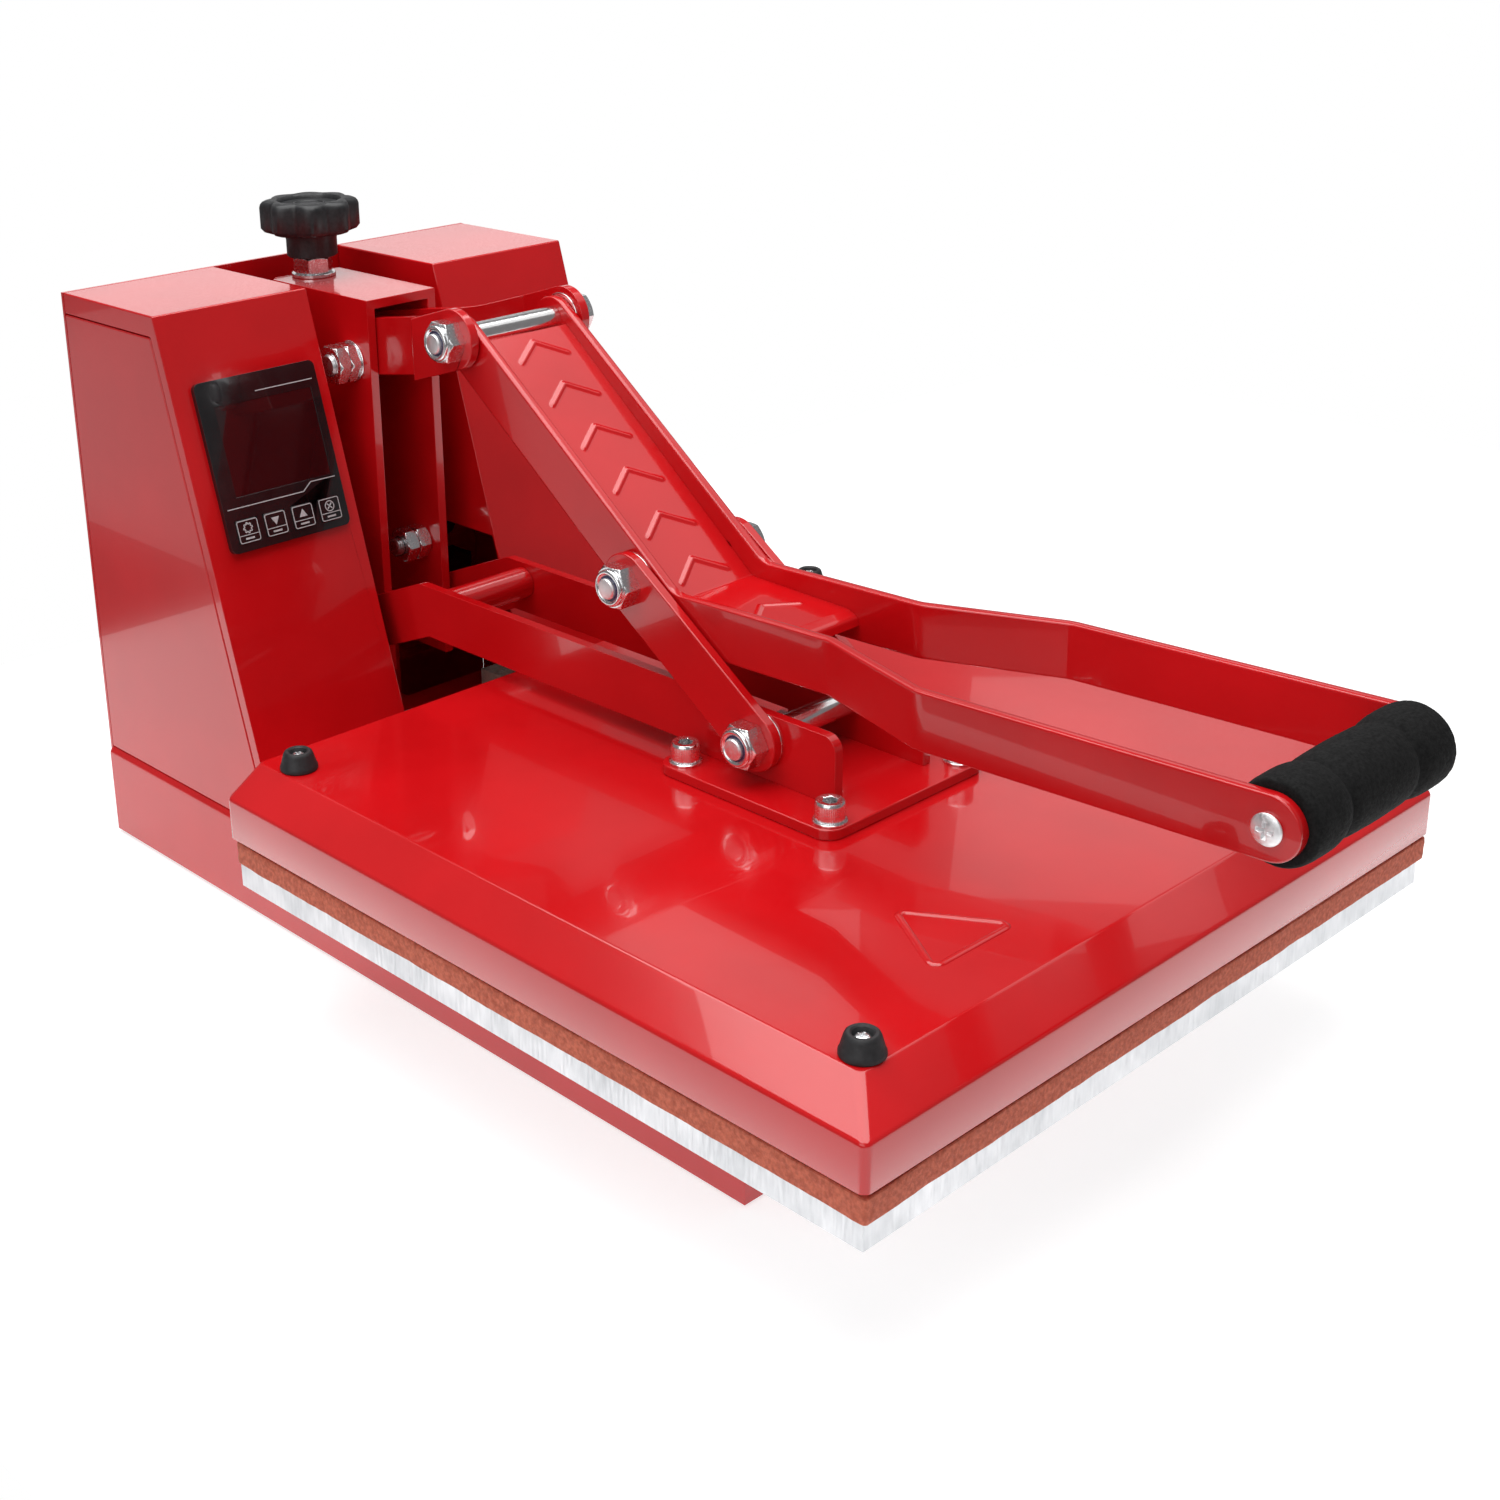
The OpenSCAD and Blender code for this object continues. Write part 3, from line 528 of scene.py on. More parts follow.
def along_x(sign, p, x):
    """Local +Z along sign * X, starting at |x| on the axis through p = (y, z)."""
    return Matrix.Translation((sign * x, *p)) @ Matrix.Rotation(math.radians(90 * sign), 4, "Y")


def along_y(sign, x, y, z):
    """Local +Z along sign * Y, starting at the point."""
    return Matrix.Translation((x, y, z)) @ Matrix.Rotation(math.radians(-90 * sign), 4, "X")


def upright(x, y, z, turn=0.0):
    """Local +Z up, starting at the point."""
    return Matrix.Translation((x, y, z)) @ Matrix.Rotation(math.radians(turn), 4, "Z")


def ribbon(points, width, z0, z1, closed=False):
    """Flat stroke of that width along points in the local XY plane."""
    pts = [Vector(p) for p in points]
    loops, n = [], len(pts)
    for i, p in enumerate(pts):
        before = pts[i - 1] if closed or i else p
        after = pts[(i + 1) % n] if closed or i < n - 1 else p
        d1 = (p - before).normalized() if before != p else (after - p).normalized()
        d2 = (after - p).normalized() if after != p else d1
        side = Vector((-(d1 + d2).y, (d1 + d2).x)).normalized()
        reach = width / 2 / max(0.35, side.dot(Vector((-d1.y, d1.x))))
        a, b = p + side * reach, p - side * reach
        loops.append([(a.x, a.y, z0), (b.x, b.y, z0), (b.x, b.y, z1), (a.x, a.y, z1)])
    return rings(loops, closed)


def prism(outline, z0, z1):
    """Straight solid over a flat outline."""
    return rings([[(x, y, z) for x, y in outline] for z in (z0, z1)])


# Sheets with several holes in one face, which keep their triangles.
PIERCED = ("rear_panel", "base_floor")


def dress(material, bevel, *nodes):
    """Gives CAD nodes their finish and, with modifiers, softly rounded edges."""
    for name in nodes:
        ob = frame["nodes"][name]
        me = ob.data
        me.materials.clear()
        me.materials.append(material)
        if "custom_normal" in me.attributes:
            me.attributes.remove(me.attributes["custom_normal"])
        me.shade_smooth()
        weld = ob.modifiers.new("weld", "WELD")
        weld.merge_threshold = 1e-6
        if name not in PIERCED:
            flat = ob.modifiers.new("flat", "DECIMATE")
            flat.decimate_type = "DISSOLVE"
            flat.angle_limit = math.radians(0.5)
        soft = ob.modifiers.new("soft", "BEVEL")
        soft.width = bevel * MM
        soft.segments = 3
        soft.limit_method = "ANGLE"
        soft.angle_limit = math.radians(32)
        soft.harden_normals = True
        soft.miter_outer = "MITER_ARC"


add_camera()
add_studio()

# ---- heater conduit: from the upper platen to a junction box on the base ----
CONDUIT = [(4, 191, 98), (4, 212, 97.5), (3, 232, 92), (-1, 252, 84), (-10, 270, 76.5),
           (-24, 282, 71.5), (-42, 287, 70), (-60, 287, 70), (-78, 287, 70), (-86, 287, 70)]


def tube(path, r):
    """Solid tube of radius r through points."""
    seg = 28
    pts = [Vector(p) for p in path]
    up, loops = Vector((0, 0, 1)), []
    for i, p in enumerate(pts):
        ahead = (pts[min(i + 1, len(pts) - 1)] - pts[max(i - 1, 0)]).normalized()
        up = (up - ahead * up.dot(ahead)).normalized()
        across = ahead.cross(up)
        turns = [2 * math.pi * k / seg for k in range(seg)]
        loops.append([p + r * (math.cos(t) * up + math.sin(t) * across) for t in turns])
    return rings(loops)


def smooth_path(points, step):
    """Catmull-Rom curve through points, about one step apart."""
    pts = [Vector(p) for p in points]
    pts = [2 * pts[0] - pts[1]] + pts + [2 * pts[-1] - pts[-2]]
    out = []
    for a, b, c, d in zip(pts, pts[1:], pts[2:], pts[3:]):
        n = max(1, round((c - b).length / step))
        for k in range(n):
            t = k / n
            out.append(0.5 * ((2 * b) + (c - a) * t + (2 * a - 5 * b + 4 * c - d) * t * t
                              + (3 * b - a - 3 * c + d) * t ** 3))
    return out + [pts[-2]]


def add_conduit():
    """Braided hose from head to frame, its ferrule, and the junction box with its gland."""
    route = smooth_path(CONDUIT, 2.0)
    hose = Shape().add(tube(route, 5.5)).piece("heater_conduit_sleeve", None, "sleeve", [SLEEVE],
                                               "heater_conduit")
    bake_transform(hose)

    collar = Shape()
    collar.add(disc(7.0, 5.4, 15.5, 0.5), 0, along_y(-1, 4, 207, 98))
    collar.piece("conduit_ferrule", "head", "machined_steel", [STEEL])

    box = Shape()
    box_x, box_y, half_x, half_y = -111, 287, 13, 17
    walls = [(0.6, 52.0), (0, 52.6), (0, 81.4), (0.4, 81.6), (0.4, 82.4), (0, 82.6), (0, 87.0),
             (0.8, 87.8), (1.0, 88.0)]
    loops = [square_loop(half_x - inset, half_y - inset, 2.5, z, 4) for inset, z in walls]
    box.add(rings(loops), 0, upright(box_x, box_y, 0))
    for x in (box_x - 8.5, box_x + 8.5):
        for y in (box_y - 12.5, box_y + 12.5):
            cross_head(box, upright(x, y, 87.0, 30), 2.2, 1.0, 1)
    gland = along_x(1, CONDUIT[-1][1:], box_x + half_x)
    box.add(hexagon(NUT_AF, 5), 0, gland)
    ribs = [(5.6, 5)] + [(8.0 - 0.25 * (k % 2), 5 + k) for k in range(8)]
    box.add(turned(ribs + [(7.2, 13.6), (5.6, 14)], 64, closed=True), 0, gland)
    box.piece("conduit_box", "frame", "black_plastic", [PLASTIC, ZINC], "junction_box")


# ---- frame ----
def add_pivot_pins():
    """Pins of the rocker and of the head's hinge, with their nuts on both sides."""
    rocker = pivot("rocker_tilt")
    pin = Shape()
    pin.add(bar(5.9, -30, 30), 1, along_x(1, rocker, 0))
    for s in (-1, 1):
        pin.add(disc(11, BOLT_R, 0.9), 0, along_x(s, rocker, 22.3))
        plain_nut(pin, along_x(s, rocker, 23.2), NUT_AF, 6.2, BOLT_R)
        plain_nut(pin, along_x(s, rocker, 29.6), NUT_AF, 6.9, BOLT_R)
        pin.add(threaded(BOLT_R, 29, 38.2), 1, along_x(s, rocker, 0))
    pin.piece("rocker_pin_nuts", "frame", "zinc", [ZINC, THREAD], "rocker_pin")

    axis = pivot("head_open")
    hinge = Shape()
    hinge.add(bar(BOLT_R, -36, 36), 1, along_x(1, axis, 0))
    for s in (-1, 1):
        hinge.add(disc(12, 6.1, 0.7), 0, along_x(s, axis, 32.25))
        plain_nut(hinge, along_x(s, axis, 33.1), NUT_AF, 5.9, BOLT_R)
        hinge.add(threaded(BOLT_R, 33, 39.9), 1, along_x(s, axis, 0))
    hinge.piece("hinge_pin_nuts", "frame", "zinc", [ZINC, THREAD], "hinge_pin")


def add_lock_bolt():
    """Stop bolt of the yoke: two lock nuts and a flat head."""
    axis, radius, nut_af, nut_height = (312, 159), 5, 17, 7.6
    lock = Shape()
    lock.add(threaded(radius, -3, 20, 1.5), 1, along_x(1, axis, 0))
    for x in (1.3, 9.3):
        plain_nut(lock, along_x(1, axis, x), nut_af, nut_height, radius)
    lock.add(turned([(0, 0), (9, 0), (9, 0.8), (8.2, 2.2), (6, 3.2), (0, 3.4)]), 0,
             along_x(1, axis, 22.3))
    lock.piece("yoke_lock_nuts", "frame", "zinc", [ZINC, THREAD], "yoke_lock_bolt")


def add_feet():
    """Low rubber feet near the corners of the base."""
    foot = [(0, 0), (10.2, 0), (11.2, 0.8), (12.3, 3), (12.3, 3.05), (0, 3.05)]
    feet = Shape()
    for x in (-115, 115):
        for y in (-62, 389):
            feet.add(turned(foot), 0, upright(x, y, 0))
    feet.piece("rubber_feet", "frame", "rubber", [RUBBER], "feet")


def add_panel_screws():
    """Cross-head screws up both edges of the rear panel."""
    rear_face = 411
    screws = Shape()
    for x in (-124, 124):
        for z in (16, 110, 205, 299):
            cross_head(screws, along_y(1, x, rear_face, z), 3.6, 2.0)
    screws.piece("panel_screws", "frame", "zinc", [ZINC])


def add_pad():
    """Sponge pad: a little uneven along its cut edges, flat where the platens press it."""
    half_x, half_y, corner = 191.9, 191.4, 1.5
    shift_x, shift_y = 0.4, -0.5
    loops = []
    for z, inset in ((79.05, 0.5), (79.5, 0.1), (82, -0.1), (84.5, 0.15), (87, -0.1),
                     (89.5, 0.1), (90.0, 0.5)):
        outline = square_loop(half_x - inset, half_y - inset, corner, z, 3)
        outline.append((half_x - inset, half_y - corner - inset, z))
        loop = []
        for p in resample(outline, 4.0)[:-1]:
            wave = 0.5 * noise.noise(Vector((p.x * 0.06, p.y * 0.06, z * 0.02)))
            wave += 0.25 * noise.noise(Vector((p.x * 0.4, p.y * 0.4, z * 0.4)))
            swell = 1 + wave / 190
            loop.append((p.x * swell + shift_x, p.y * swell + shift_y, z))
        loops.append(loop)
    pad = Shape().add(rings(loops)).piece("silicone_sponge_pad", "frame", "silicone", [SILICONE],
                                          "silicone_pad")


# ---- controller ----
# (y, z) of both ends of the tower's sloped front, and the bezel's lower left corner on it.
FRONT_LOW = (246.5, 52)
FRONT_HIGH = (321.5, 308)
PANEL_X = -121.5
PANEL_UP = 143.4
INK = 0.09


def on_panel(u, v, w):
    """Place on the controller: u across, v up the sloped front, w out of the panel."""
    slope = math.atan((FRONT_HIGH[0] - FRONT_LOW[0]) / (FRONT_HIGH[1] - FRONT_LOW[1]))
    sin, cos = math.sin(slope), math.cos(slope)
    y = FRONT_LOW[0] + (PANEL_UP + v) * sin - w * cos
    z = FRONT_LOW[1] + (PANEL_UP + v) * cos + w * sin
    turn = Matrix(((1, 0, 0, 0), (0, sin, -cos, 0), (0, cos, sin, 0), (0, 0, 0, 1)))
    return Matrix.Translation((PANEL_X + u, y, z)) @ turn


def stroke(points, width, closed=False):
    """Printed line that stands INK proud of the surface."""
    return ribbon(points, width, 0.0, INK, closed)


def add_controls():
    """Lines on the bezel, and a frame, two bars and a sign on each key."""
    bezel_face, key_face = 3, 3.4
    line = Shape()
    path = [(2.5, 22.4), (48.3, 22.2), (53.7, 26.2), (68.8, 26.0)]
    line.add(stroke(path, 0.5), 0, on_panel(0, 0, bezel_face))
    line.add(stroke([(34, 77.5), (68.8, 77.5)], 0.5), 0, on_panel(0, 0, bezel_face))
    line.piece("panel_lines", "frame", "black_gloss", [PRINT])

    ring_r, notch_r = 2.6, 1.9
    ring = [(ring_r * math.cos(k * math.pi / 18), ring_r * math.sin(k * math.pi / 18))
            for k in range(36)]
    gear = []
    for k in range(32):
        a = 2 * math.pi * k / 32
        r = ring_r if k % 4 < 2 else notch_r
        gear.append((r * math.cos(a), r * math.sin(a)))
    signs = {
        "set_key": [stroke(gear, 0.55, True)],
        "down_key": [prism([(-2.4, 1.8), (2.4, 1.8), (0, -2.2)], 0.0, INK)],
        "up_key": [prism([(-2.4, -1.8), (2.4, -1.8), (0, 2.2)], 0.0, INK)],
        "clear_key": [stroke(ring, 0.5, True), stroke([(-1.4, -1.4), (1.4, 1.4)], 0.6),
                      stroke([(-1.4, 1.4), (1.4, -1.4)], 0.6)],
    }
    outline = [(x, y) for x, y, z in square_loop(5.9, 5.5, 1.0, 0, 4)]
    for (name, solids), u in zip(signs.items(), (11.4, 28, 44.7, 61.3)):
        mark = Shape()
        place = on_panel(u, 10.1, key_face)
        mark.add(stroke(outline, 0.45, True), 0, place)
        mark.add(stroke([(-5.8, -1.9), (5.8, -1.9)], 0.4), 0, place)
        mark.add(stroke([(-2.6, -3.7), (2.6, -3.7)], 0.9), 0, place)
        for solid in solids:
            mark.add(solid, 0, on_panel(u, 11.7, key_face))
        mark.piece(name + "_print", name, "black_gloss", [PRINT])


# ---- pressure screw ----
def add_pressure_screw():
    """Knob with eight lobes and a sunken top, its threaded spindle, jam nut and washer."""
    axis_y = 374

    def lobes(depth):
        return lambda a: 1 + depth * (0.5 + 0.5 * math.cos(8 * (a - 0.21))) ** 0.75

    collar = [(6.1, 312.6), (12.9, 312.6), (13.75, 313.4), (13.75, 322), (14.4, 324.4),
              (16.5, 325.2)]
    wheel = [(19.6, 325.6, lobes(0.12)), (21.6, 326.6, lobes(0.16)), (22.6, 328.6, lobes(0.185)),
             (22.6, 339.7, lobes(0.185)), (22.3, 341.3, lobes(0.18)), (21.6, 342.6, lobes(0.165)),
             (20.6, 343.3, lobes(0.14)), (19.2, 343.5, lobes(0.10))]
    top = [(17.4, 343.2), (16.6, 342.3), (16.2, 340.9), (9, 340.7), (8.4, 341.4), (7.8, 341.4),
           (7.2, 340.7), (0, 340.8)]
    knob = Shape().add(turned(collar + wheel + top, 144), 0, upright(0, axis_y, 0))
    knob.piece("pressure_knob_lobed", "pressure_screw", "black_plastic", [PLASTIC],
               "pressure_knob", sharp=40)
    spindle = Shape()
    spindle.add(threaded(BOLT_R, 226, 330), 0, upright(0, axis_y, 0))
    spindle.add(disc(10, 4, 6, 0.5), 1, upright(0, axis_y, 290.3))
    spindle.add(disc(8, 4, 5, 0.5), 1, upright(0, axis_y, 228))
    spindle.piece("pressure_spindle_thread", "pressure_screw", "zinc", [THREAD, ZINC],
                  "pressure_spindle")
    nut = Shape()
    nut.add(disc(12, 6.2, 1.8), 0, upright(0, axis_y, 301.65))
    plain_nut(nut, upright(0, axis_y, 303.5, 12), NUT_AF, 8.7, BOLT_R)
    nut.piece("jam_nut_hex", "pressure_screw", "zinc", [ZINC], "jam_nut")


# ---- linkage ----
def add_linkage():
    """The handle's pivot bolt, the head's, and the nuts where the links meet the handle."""
    shank, sleeve = 5.95, 6.1
    metals = [ZINC, NYLON, BRIGHT, CHROME]

    handle = pivot("handle_lift")
    bolt = Shape()
    nyloc(bolt, along_x(-1, handle, 38))
    bolt_head(bolt, along_x(1, handle, 38))
    for s in (-1, 1):
        bolt.add(disc(12, BOLT_R, 0.75, 0.2), 0, along_x(s, handle, 32.22))
        # The bars have no hole, so the shank shows on both sides of them and not inside.
        bolt.add(bar(shank, 32.25, 38.5), 2, along_x(s, handle, 0))
    bolt.add(bar(sleeve, -26.9, 26.9, 0.2), 3, along_x(1, handle, 0))
    bolt.piece("handle_pivot_bolt", "rocker", "zinc", metals, "handle_bolt")

    ear = pivot("link_swing")
    press = Shape()
    press.add(bar(shank, -38, 38), 2, along_x(1, ear, 0))
    nyloc(press, along_x(-1, ear, 38.2))
    bolt_head(press, along_x(1, ear, 38.2))
    for s in (-1, 1):
        press.add(disc(13.5, BOLT_R, 0.8, 0.2), 0, along_x(s, ear, 32.0))
    press.add(bar(sleeve, -27, 27, 0.2), 3, along_x(1, ear, 0))
    press.piece("link_pivot_bolt", "head", "zinc", metals, "press_bolt")

    toggle = (87.6, 202.4)
    nuts = Shape()
    nyloc(nuts, along_x(-1, toggle, 38))
    bolt_head(nuts, along_x(1, toggle, 38))
    for s in (-1, 1):
        nuts.add(bar(shank, 33, 38.8), 2, along_x(s, toggle, 0))
    nuts.piece("toggle_pivot_nuts", "links", "zinc", [ZINC, NYLON, BRIGHT], "link_nuts")


# (y, z) of the grip's axis.
GRIP = (-250.5, 200.2)


def add_handle_plates():
    """Flat bars bent at the knee and wrist, and set outward to the grip in two soft bends."""
    half_width, thick, edge = 12.6, 5.0, 0.7
    at_pivot, at_grip = 27, 48.5
    knee, wrist = (66, 189), (-95, 193.9)
    past_pivot = Vector((1.53, -1.98))
    top = Vector(pivot("handle_lift")) + past_pivot
    mid = resample(soften([tuple(top), knee, wrist, GRIP], 26, 12), 2.5)
    ends = [math.pi / 2 * k / 10 for k in range(1, 11)]
    first, last = (mid[0] - mid[1]).normalized(), (mid[-1] - mid[-2]).normalized()
    path = [(mid[0] + first * half_width * math.sin(a), first * -1,
             max(0.3, half_width * math.cos(a))) for a in ends[::-1]]
    for i, p in enumerate(mid):
        along = (mid[min(i + 1, len(mid) - 1)] - mid[max(i - 1, 0)]).normalized()
        path.append((p, along, half_width))
    path += [(mid[-1] + last * half_width * math.sin(a), last,
              max(0.3, half_width * math.cos(a))) for a in ends]
    plan = resample(soften([(320, at_pivot), (-31, at_pivot), (-95.5, at_grip), (-300, at_grip)],
                           16, 10), 1.0)
    for s in (-1, 1):
        loops = []
        for p, along, half in path:
            k = min(range(1, len(plan) - 1), key=lambda i: abs(plan[i].x - p.x))
            d = (plan[k + 1] - plan[k - 1]).normalized()
            out = Vector((d.y, -d.x))
            inner = plan[k].y + (p.x - plan[k].x) * d.y / d.x
            rise = Vector((along.y, -along.x))
            cut = min(edge, half * 0.4)
            held = half - cut - min(0.5, half * 0.3)
            loop = [(0, held), (0, half - cut), (cut * 0.3, half - cut * 0.3), (cut, half),
                    (thick - cut, half), (thick - cut * 0.3, half - cut * 0.3),
                    (thick, half - cut), (thick, held)]
            loop += [(w, -h) for w, h in loop[::-1]]
            loops.append([(s * (inner + out.y * w), p.x + out.x * w + rise.x * h,
                           p.y + rise.y * h) for w, h in loop])
        side = "left" if s < 0 else "right"
        Shape().add(rings(loops)).piece("handle_bar_" + side, "handle", "red_paint", [RED],
                                        "handle_" + side, sharp=50)


# How far along the web from its bend the feet of each chevron are.
CHEVRON_FEET = (8.0, 35.8, 63.5, 91.3, 119.0, 146.5, -40.0)


def chevron_height(x, s):
    """Height of the pressed chevrons on the web at x across and s along from the bend."""
    middle, rise, reach, height = 1.5, 10.5, 14.8, 0.75
    p = Vector((x, s))
    nearest = 9.0
    for foot in CHEVRON_FEET:
        a = Vector((middle, foot + rise))
        for side in (-1, 1):
            ab = Vector((middle + side * reach, foot)) - a
            t = min(1.0, max(0.0, (p - a).dot(ab) / ab.dot(ab)))
            nearest = min(nearest, (p - a - t * ab).length)
    t = min(1.0, max(0.0, (1.7 - nearest) / 1.5))
    return height * t * t * (3 - 2 * t)


def add_web():
    """Sheet between the handle bars: a flat part with a lip and a steep part, with chevrons."""
    half, thick, fold = 26.9, 3.0, (68.8, 194.0)
    lip = [(2.4, 186.2), (3.6, 190.4), (9.4, 192.6)]
    profile = resample(soften(lip + [fold, (196.7, 295.8)], 3.2), 0.8)
    along = [0.0]
    for p, q in zip(profile, profile[1:]):
        along.append(along[-1] + (q - p).length)
    bend = min(range(len(profile)), key=lambda i: (profile[i] - Vector(fold)).length)
    xs = [-half + 2 * half * k / 80 for k in range(81)]
    points, faces, n = [], [], len(xs) + 2
    for i, p in enumerate(profile):
        a, b = profile[max(i - 1, 0)], profile[min(i + 1, len(profile) - 1)]
        t = (b - a).normalized()
        out = Vector((-t.y, t.x))
        for x in xs:
            q = p + out * chevron_height(x, along[i] - along[bend])
            points.append((x, q.x, q.y))
        q = p - out * thick
        points += [(xs[-1], q.x, q.y), (xs[0], q.x, q.y)]
    for i in range(len(profile) - 1):
        a, b = i * n, (i + 1) * n
        faces += [(a + k, a + (k + 1) % n, b + (k + 1) % n, b + k) for k in range(n)]
    faces += [tuple(range(n)), tuple(range(len(points) - n, len(points)))]
    Shape().add((points, faces)).piece("handle_web_pressed", "handle", "red_paint", [RED],
                                       "handle_web", sharp=50)


def add_grip():
    """Foam grip: a long middle, a notch near each end and a rounded lobe beyond it."""
    marks = [(-48.4, 15.4), (-47.2, 16.4), (-44, 16.9), (-38, 17.0), (-32, 16.9), (-27, 16.2),
             (-24.2, 15.1), (-23.2, 14.8), (-22, 15.2), (-18, 16.0), (-8, 16.3), (0, 16.4)]
    marks += [(-x, r) for x, r in marks[-2::-1]]
    turns = [math.pi * k / 90 for k in range(180)]
    loops = []
    for x, r in smooth_path(marks, 0.7):
        loop = []
        for a in turns:
            y, z = math.cos(a), math.sin(a)
            rr = r + 0.13 * noise.noise(Vector((x * 0.9, r * y * 0.9, r * z * 0.9)))
            loop.append((x, GRIP[0] + rr * y, GRIP[1] + rr * z))
        loops.append(loop)
    end, tube_r, rim_r = 48.3, 11.1, 13
    for x, r in ((end, rim_r), (end, tube_r), (-end, tube_r), (-end, rim_r)):
        loops.append([(x, GRIP[0] + r * math.cos(a), GRIP[1] + r * math.sin(a)) for a in turns])
    foam = Shape().add(rings(loops, closed=True)).piece("grip_foam_lobed", "handle", "foam",
                                                        [FOAM], "grip_foam", sharp=60)
    screws = Shape()
    for s in (-1, 1):
        screws.add(bar(3, 31, 54), 0, along_x(s, GRIP, 0))
        cross_head(screws, along_x(s, GRIP, 53.5), 6.2, 2.6)
    screws.piece("grip_pan_screws", "handle", "zinc", [BRIGHT], "grip_screws")


# ---- head ----
COVER_TOP = 124.0


def add_cover():
    """Pressed cover: its left and front slope in above the skirt, the others are upright."""
    skirt, shoulder, rim, flat = 193.0, 112.0, 174.5, COVER_TOP
    inboard, sheet, top_r = 150.0, 2.0, 1.5
    fold = soften([(skirt, 100.0), (skirt, shoulder), (rim, flat), (inboard, flat)], 2.2, 5)
    slope = (Vector(fold[7]) - Vector(fold[6])).normalized() * 0.5
    held = [(fold[1][0], fold[1][1] - 0.5)] + fold[1:7] + [tuple(Vector(fold[6]) + slope)]
    held += [tuple(Vector(fold[7]) - slope)] + fold[7:-1] + [(fold[-2][0] - 0.5, flat)]
    outer = [(192.7, 92.0), (skirt, 92.4)] + held
    inner = [(190.9, 92.0), (190.9, 111.0), (rim - 2.6, flat - sheet), (inboard, flat - sheet)]
    loops = []
    for i, (h, z) in enumerate(inner[::-1] + outer):
        inside = i < len(inner)
        round_top = top_r * (1 - math.sqrt(1 - max(0.0, (z - flat + top_r) / top_r) ** 2))
        back = skirt - (sheet if inside else round_top)
        half, shift = (back + h) / 2, (back - h) / 2
        loop = square_loop(half, half, 2.4 if inside else 3.6, z, 8)
        loops.append([(x + shift, y + shift, z) for x, y, z in loop])
    cover = Shape().add(rings(loops))
    cover.piece("cover_pressed", "head", "red_paint", [RED_SHEET], "heater_cover", sharp=40)


def add_emblem():
    """Plain triangle pressed into the cover: a low rounded ridge along its outline."""
    ridge = ((1.9, -0.3), (1.7, 0.05), (0.9, 0.6), (0, 0.8), (-0.9, 0.6), (-1.7, 0.05),
             (-1.9, -0.3))
    corners = [(-78, -108.4), (-53.4, -147.3), (-102, -147)]
    outline = []
    for i, c in enumerate(corners):
        before, after = corners[i - 1], corners[(i + 1) % 3]
        outline += soften([before, c, after], 3.0)[1:-1]
    loops = []
    n = len(outline)
    for i, p in enumerate(outline):
        d = (Vector(outline[(i + 1) % n]) - Vector(outline[i - 1])).normalized()
        side = Vector((-d.y, d.x))
        loops.append([(p[0] + side.x * w, p[1] + side.y * w, COVER_TOP + h) for w, h in ridge])
    mark = Shape().add(rings(loops, closed=True))
    mark.piece("cover_emblem", "head", "red_paint", [RED], sharp=60)


def add_grommet():
    """Rubber ring in the cover's back, where the conduit leaves it."""
    levels = [(7.05, -2.5), (7.2, -2.5), (7.5, -1.6), (7.5, 1.8), (7.2, 2.6), (7.05, 2.6)]
    grommet = Shape().add(turned(levels, 48, closed=True), 0, along_y(-1, 4, 192.4, 98))
    grommet.piece("conduit_grommet", "head", "rubber", [RUBBER])


def add_blanket():
    """Fibre mat over the element: puffed between the bosses that hold it."""
    half, bottom = 170, 112.6
    n, points, faces = 34, [], []
    for side in (0, 1):
        for i in range(n + 1):
            for k in range(n + 1):
                x, y = -half + 2 * half * i / n, -half + 2 * half * k / n
                edge = min(1.0, (half - max(abs(x), abs(y))) / 14)
                puff = 2.2 * (1 - (1 - edge) ** 2)
                lump = 0.5 * noise.noise(Vector((x * 0.03, y * 0.03, side)))
                z = bottom + 1.0 + puff + lump if side else bottom
                points.append((x, y, z))
    m = n + 1
    for side in (0, 1):
        base = side * m * m
        for i in range(n):
            for k in range(n):
                a = base + i * m + k
                faces.append((a, a + 1, a + m + 1, a + m))
    rim = list(range(m)) + [i * m + n for i in range(1, m)]
    rim += [n * m + k for k in range(n - 1, -1, -1)] + [i * m for i in range(n - 1, 0, -1)]
    for a, b in zip(rim, rim[1:] + rim[:1]):
        faces.append((a, b, b + m * m, a + m * m))
    mat = Shape().add((points, faces)).piece("fibre_blanket_pad", "head", "blanket", [BLANKET],
                                             "insulation_blanket")


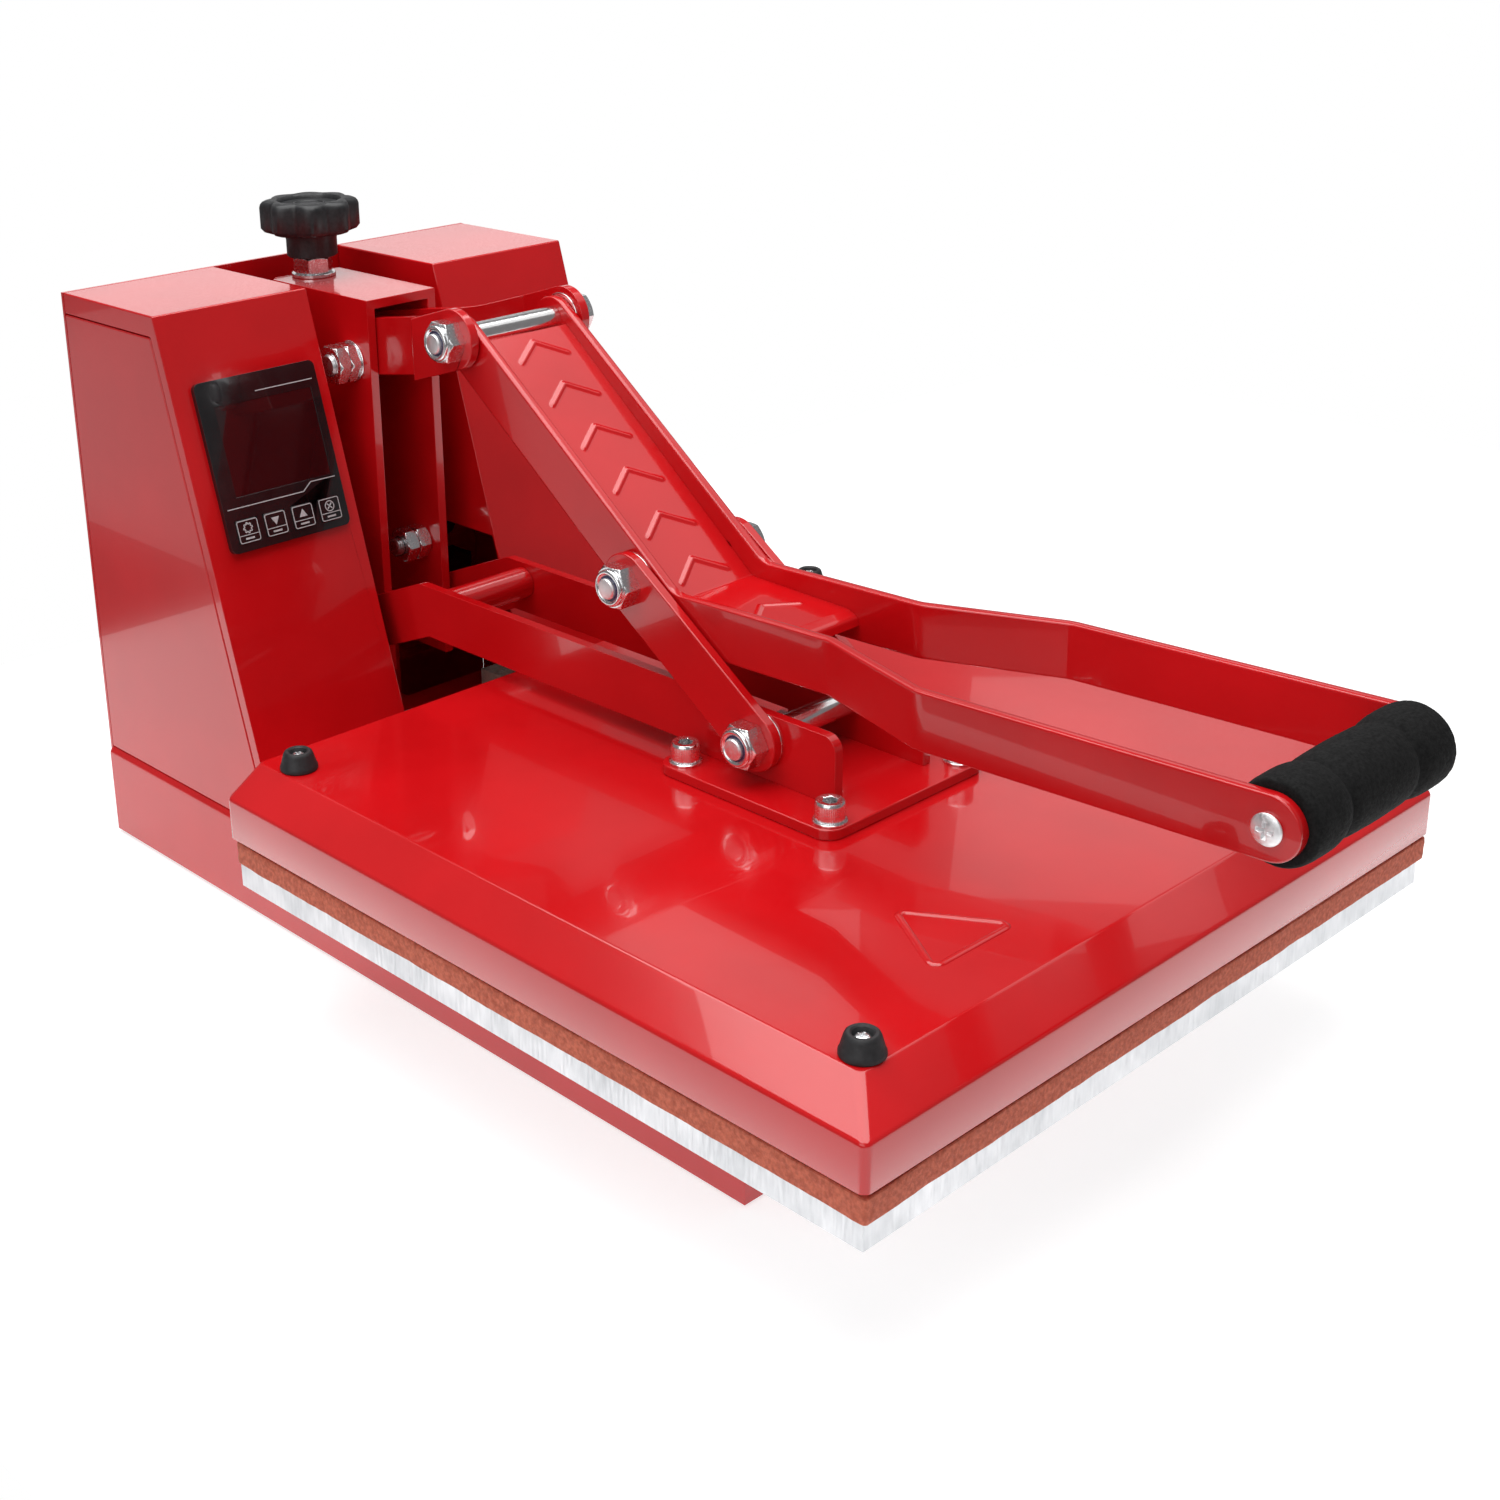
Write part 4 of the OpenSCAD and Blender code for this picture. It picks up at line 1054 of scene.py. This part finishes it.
def add_cap_screws():
    """Four socket cap screws that hold the mounting plate, each turned its own way."""
    reach = 43.5
    head = [(0, 0), (6.4, 0), (6.7, 0.4, knurl_form), (6.7, 7.0, knurl_form), (6.55, 7.4),
            (6.3, 8.4), (5.9, 8.8), (4.0, 8.8), (3.1, 8.5, hex_form), (3.05, 4.0, hex_form),
            (0, 3.6)]
    caps = Shape()
    for x in (-reach, reach):
        for y in (-reach, reach):
            turn = 11 * (x + 2 * y) % 60
            caps.add(disc(7.6, 4.2, 1.2), 0, upright(x, y, 129))
            caps.add(turned(head, 144), 0, upright(x, y, 130.2, turn))
            caps.add(bar(4, 100, 131), 0, upright(x, y, 0))
    caps.piece("socket_cap_screws", "head", "zinc", [ZINC], "cap_screws")


def add_bumpers():
    """Hollow rubber buttons on the cover, each with its screw."""
    button = [(0, 0.02), (8.3, 0.02), (8.7, 0.5), (8.7, 1.8), (8.3, 2.5), (6.9, 7.4),
              (6.4, 8.5), (5.7, 9.0), (4.6, 9.0), (4.0, 8.5), (3.8, 5.0), (0, 5.0)]
    bumpers = Shape()
    for x in (-165, 182):
        for y in (-167, 173):
            place = upright(x, y, COVER_TOP)
            bumpers.add(turned(button, 64), 0, place)
            cross_head(bumpers, place @ upright(0, 0, 5.0, 20), 3.7, 3.0, 1)
    bumpers.piece("cover_bumpers_rubber", "head", "rubber", [RUBBER, ZINC], "cover_bumpers")


add_conduit()
add_pivot_pins()
add_lock_bolt()
add_feet()
add_panel_screws()
add_pad()
add_controls()
add_pressure_screw()
add_linkage()
add_handle_plates()
add_web()
add_grip()
add_cover()
add_emblem()
add_grommet()
add_blanket()
add_cap_screws()
add_bumpers()

dress(RED, 0.8, "base_shell", "tower_left", "tower_right", "side_cover_left",
      "side_cover_right")
dress(RED, 0.12, "rear_panel")
dress(RED, 0.7, "yoke", "rocker_left", "rocker_right", "head_arms", "mounting_plate",
      "toggle_links", "cross_tube")
dress(ALU, 0.4, "lower_platen", "heating_platen")
dress(BLACK_STEEL, 0.5, "base_floor", "platen_rails")
dress(ZINC, 0.3, "platen_screws", "toggle_studs", "rocker_sleeve")
dress(STEEL, 0.3, "trunnion", "grip_tube", "heating_element")
dress(BRONZE, 0.3, "hinge_bushes")
dress(GLOSS, 0.35, "controller_bezel", "set_key", "down_key", "up_key", "clear_key")
dress(GLASS, 0.15, "display_window")
dress(PCB, 0.2, "controller_board")
dress(PALE, 0.5, "solid_state_relay", "terminal_block", "thermostat")
dress(PLASTIC, 0.4, "power_inlet", "fuse_holder", "switch_housing")
dress(SWITCH_RED, 0.4, "switch_key")
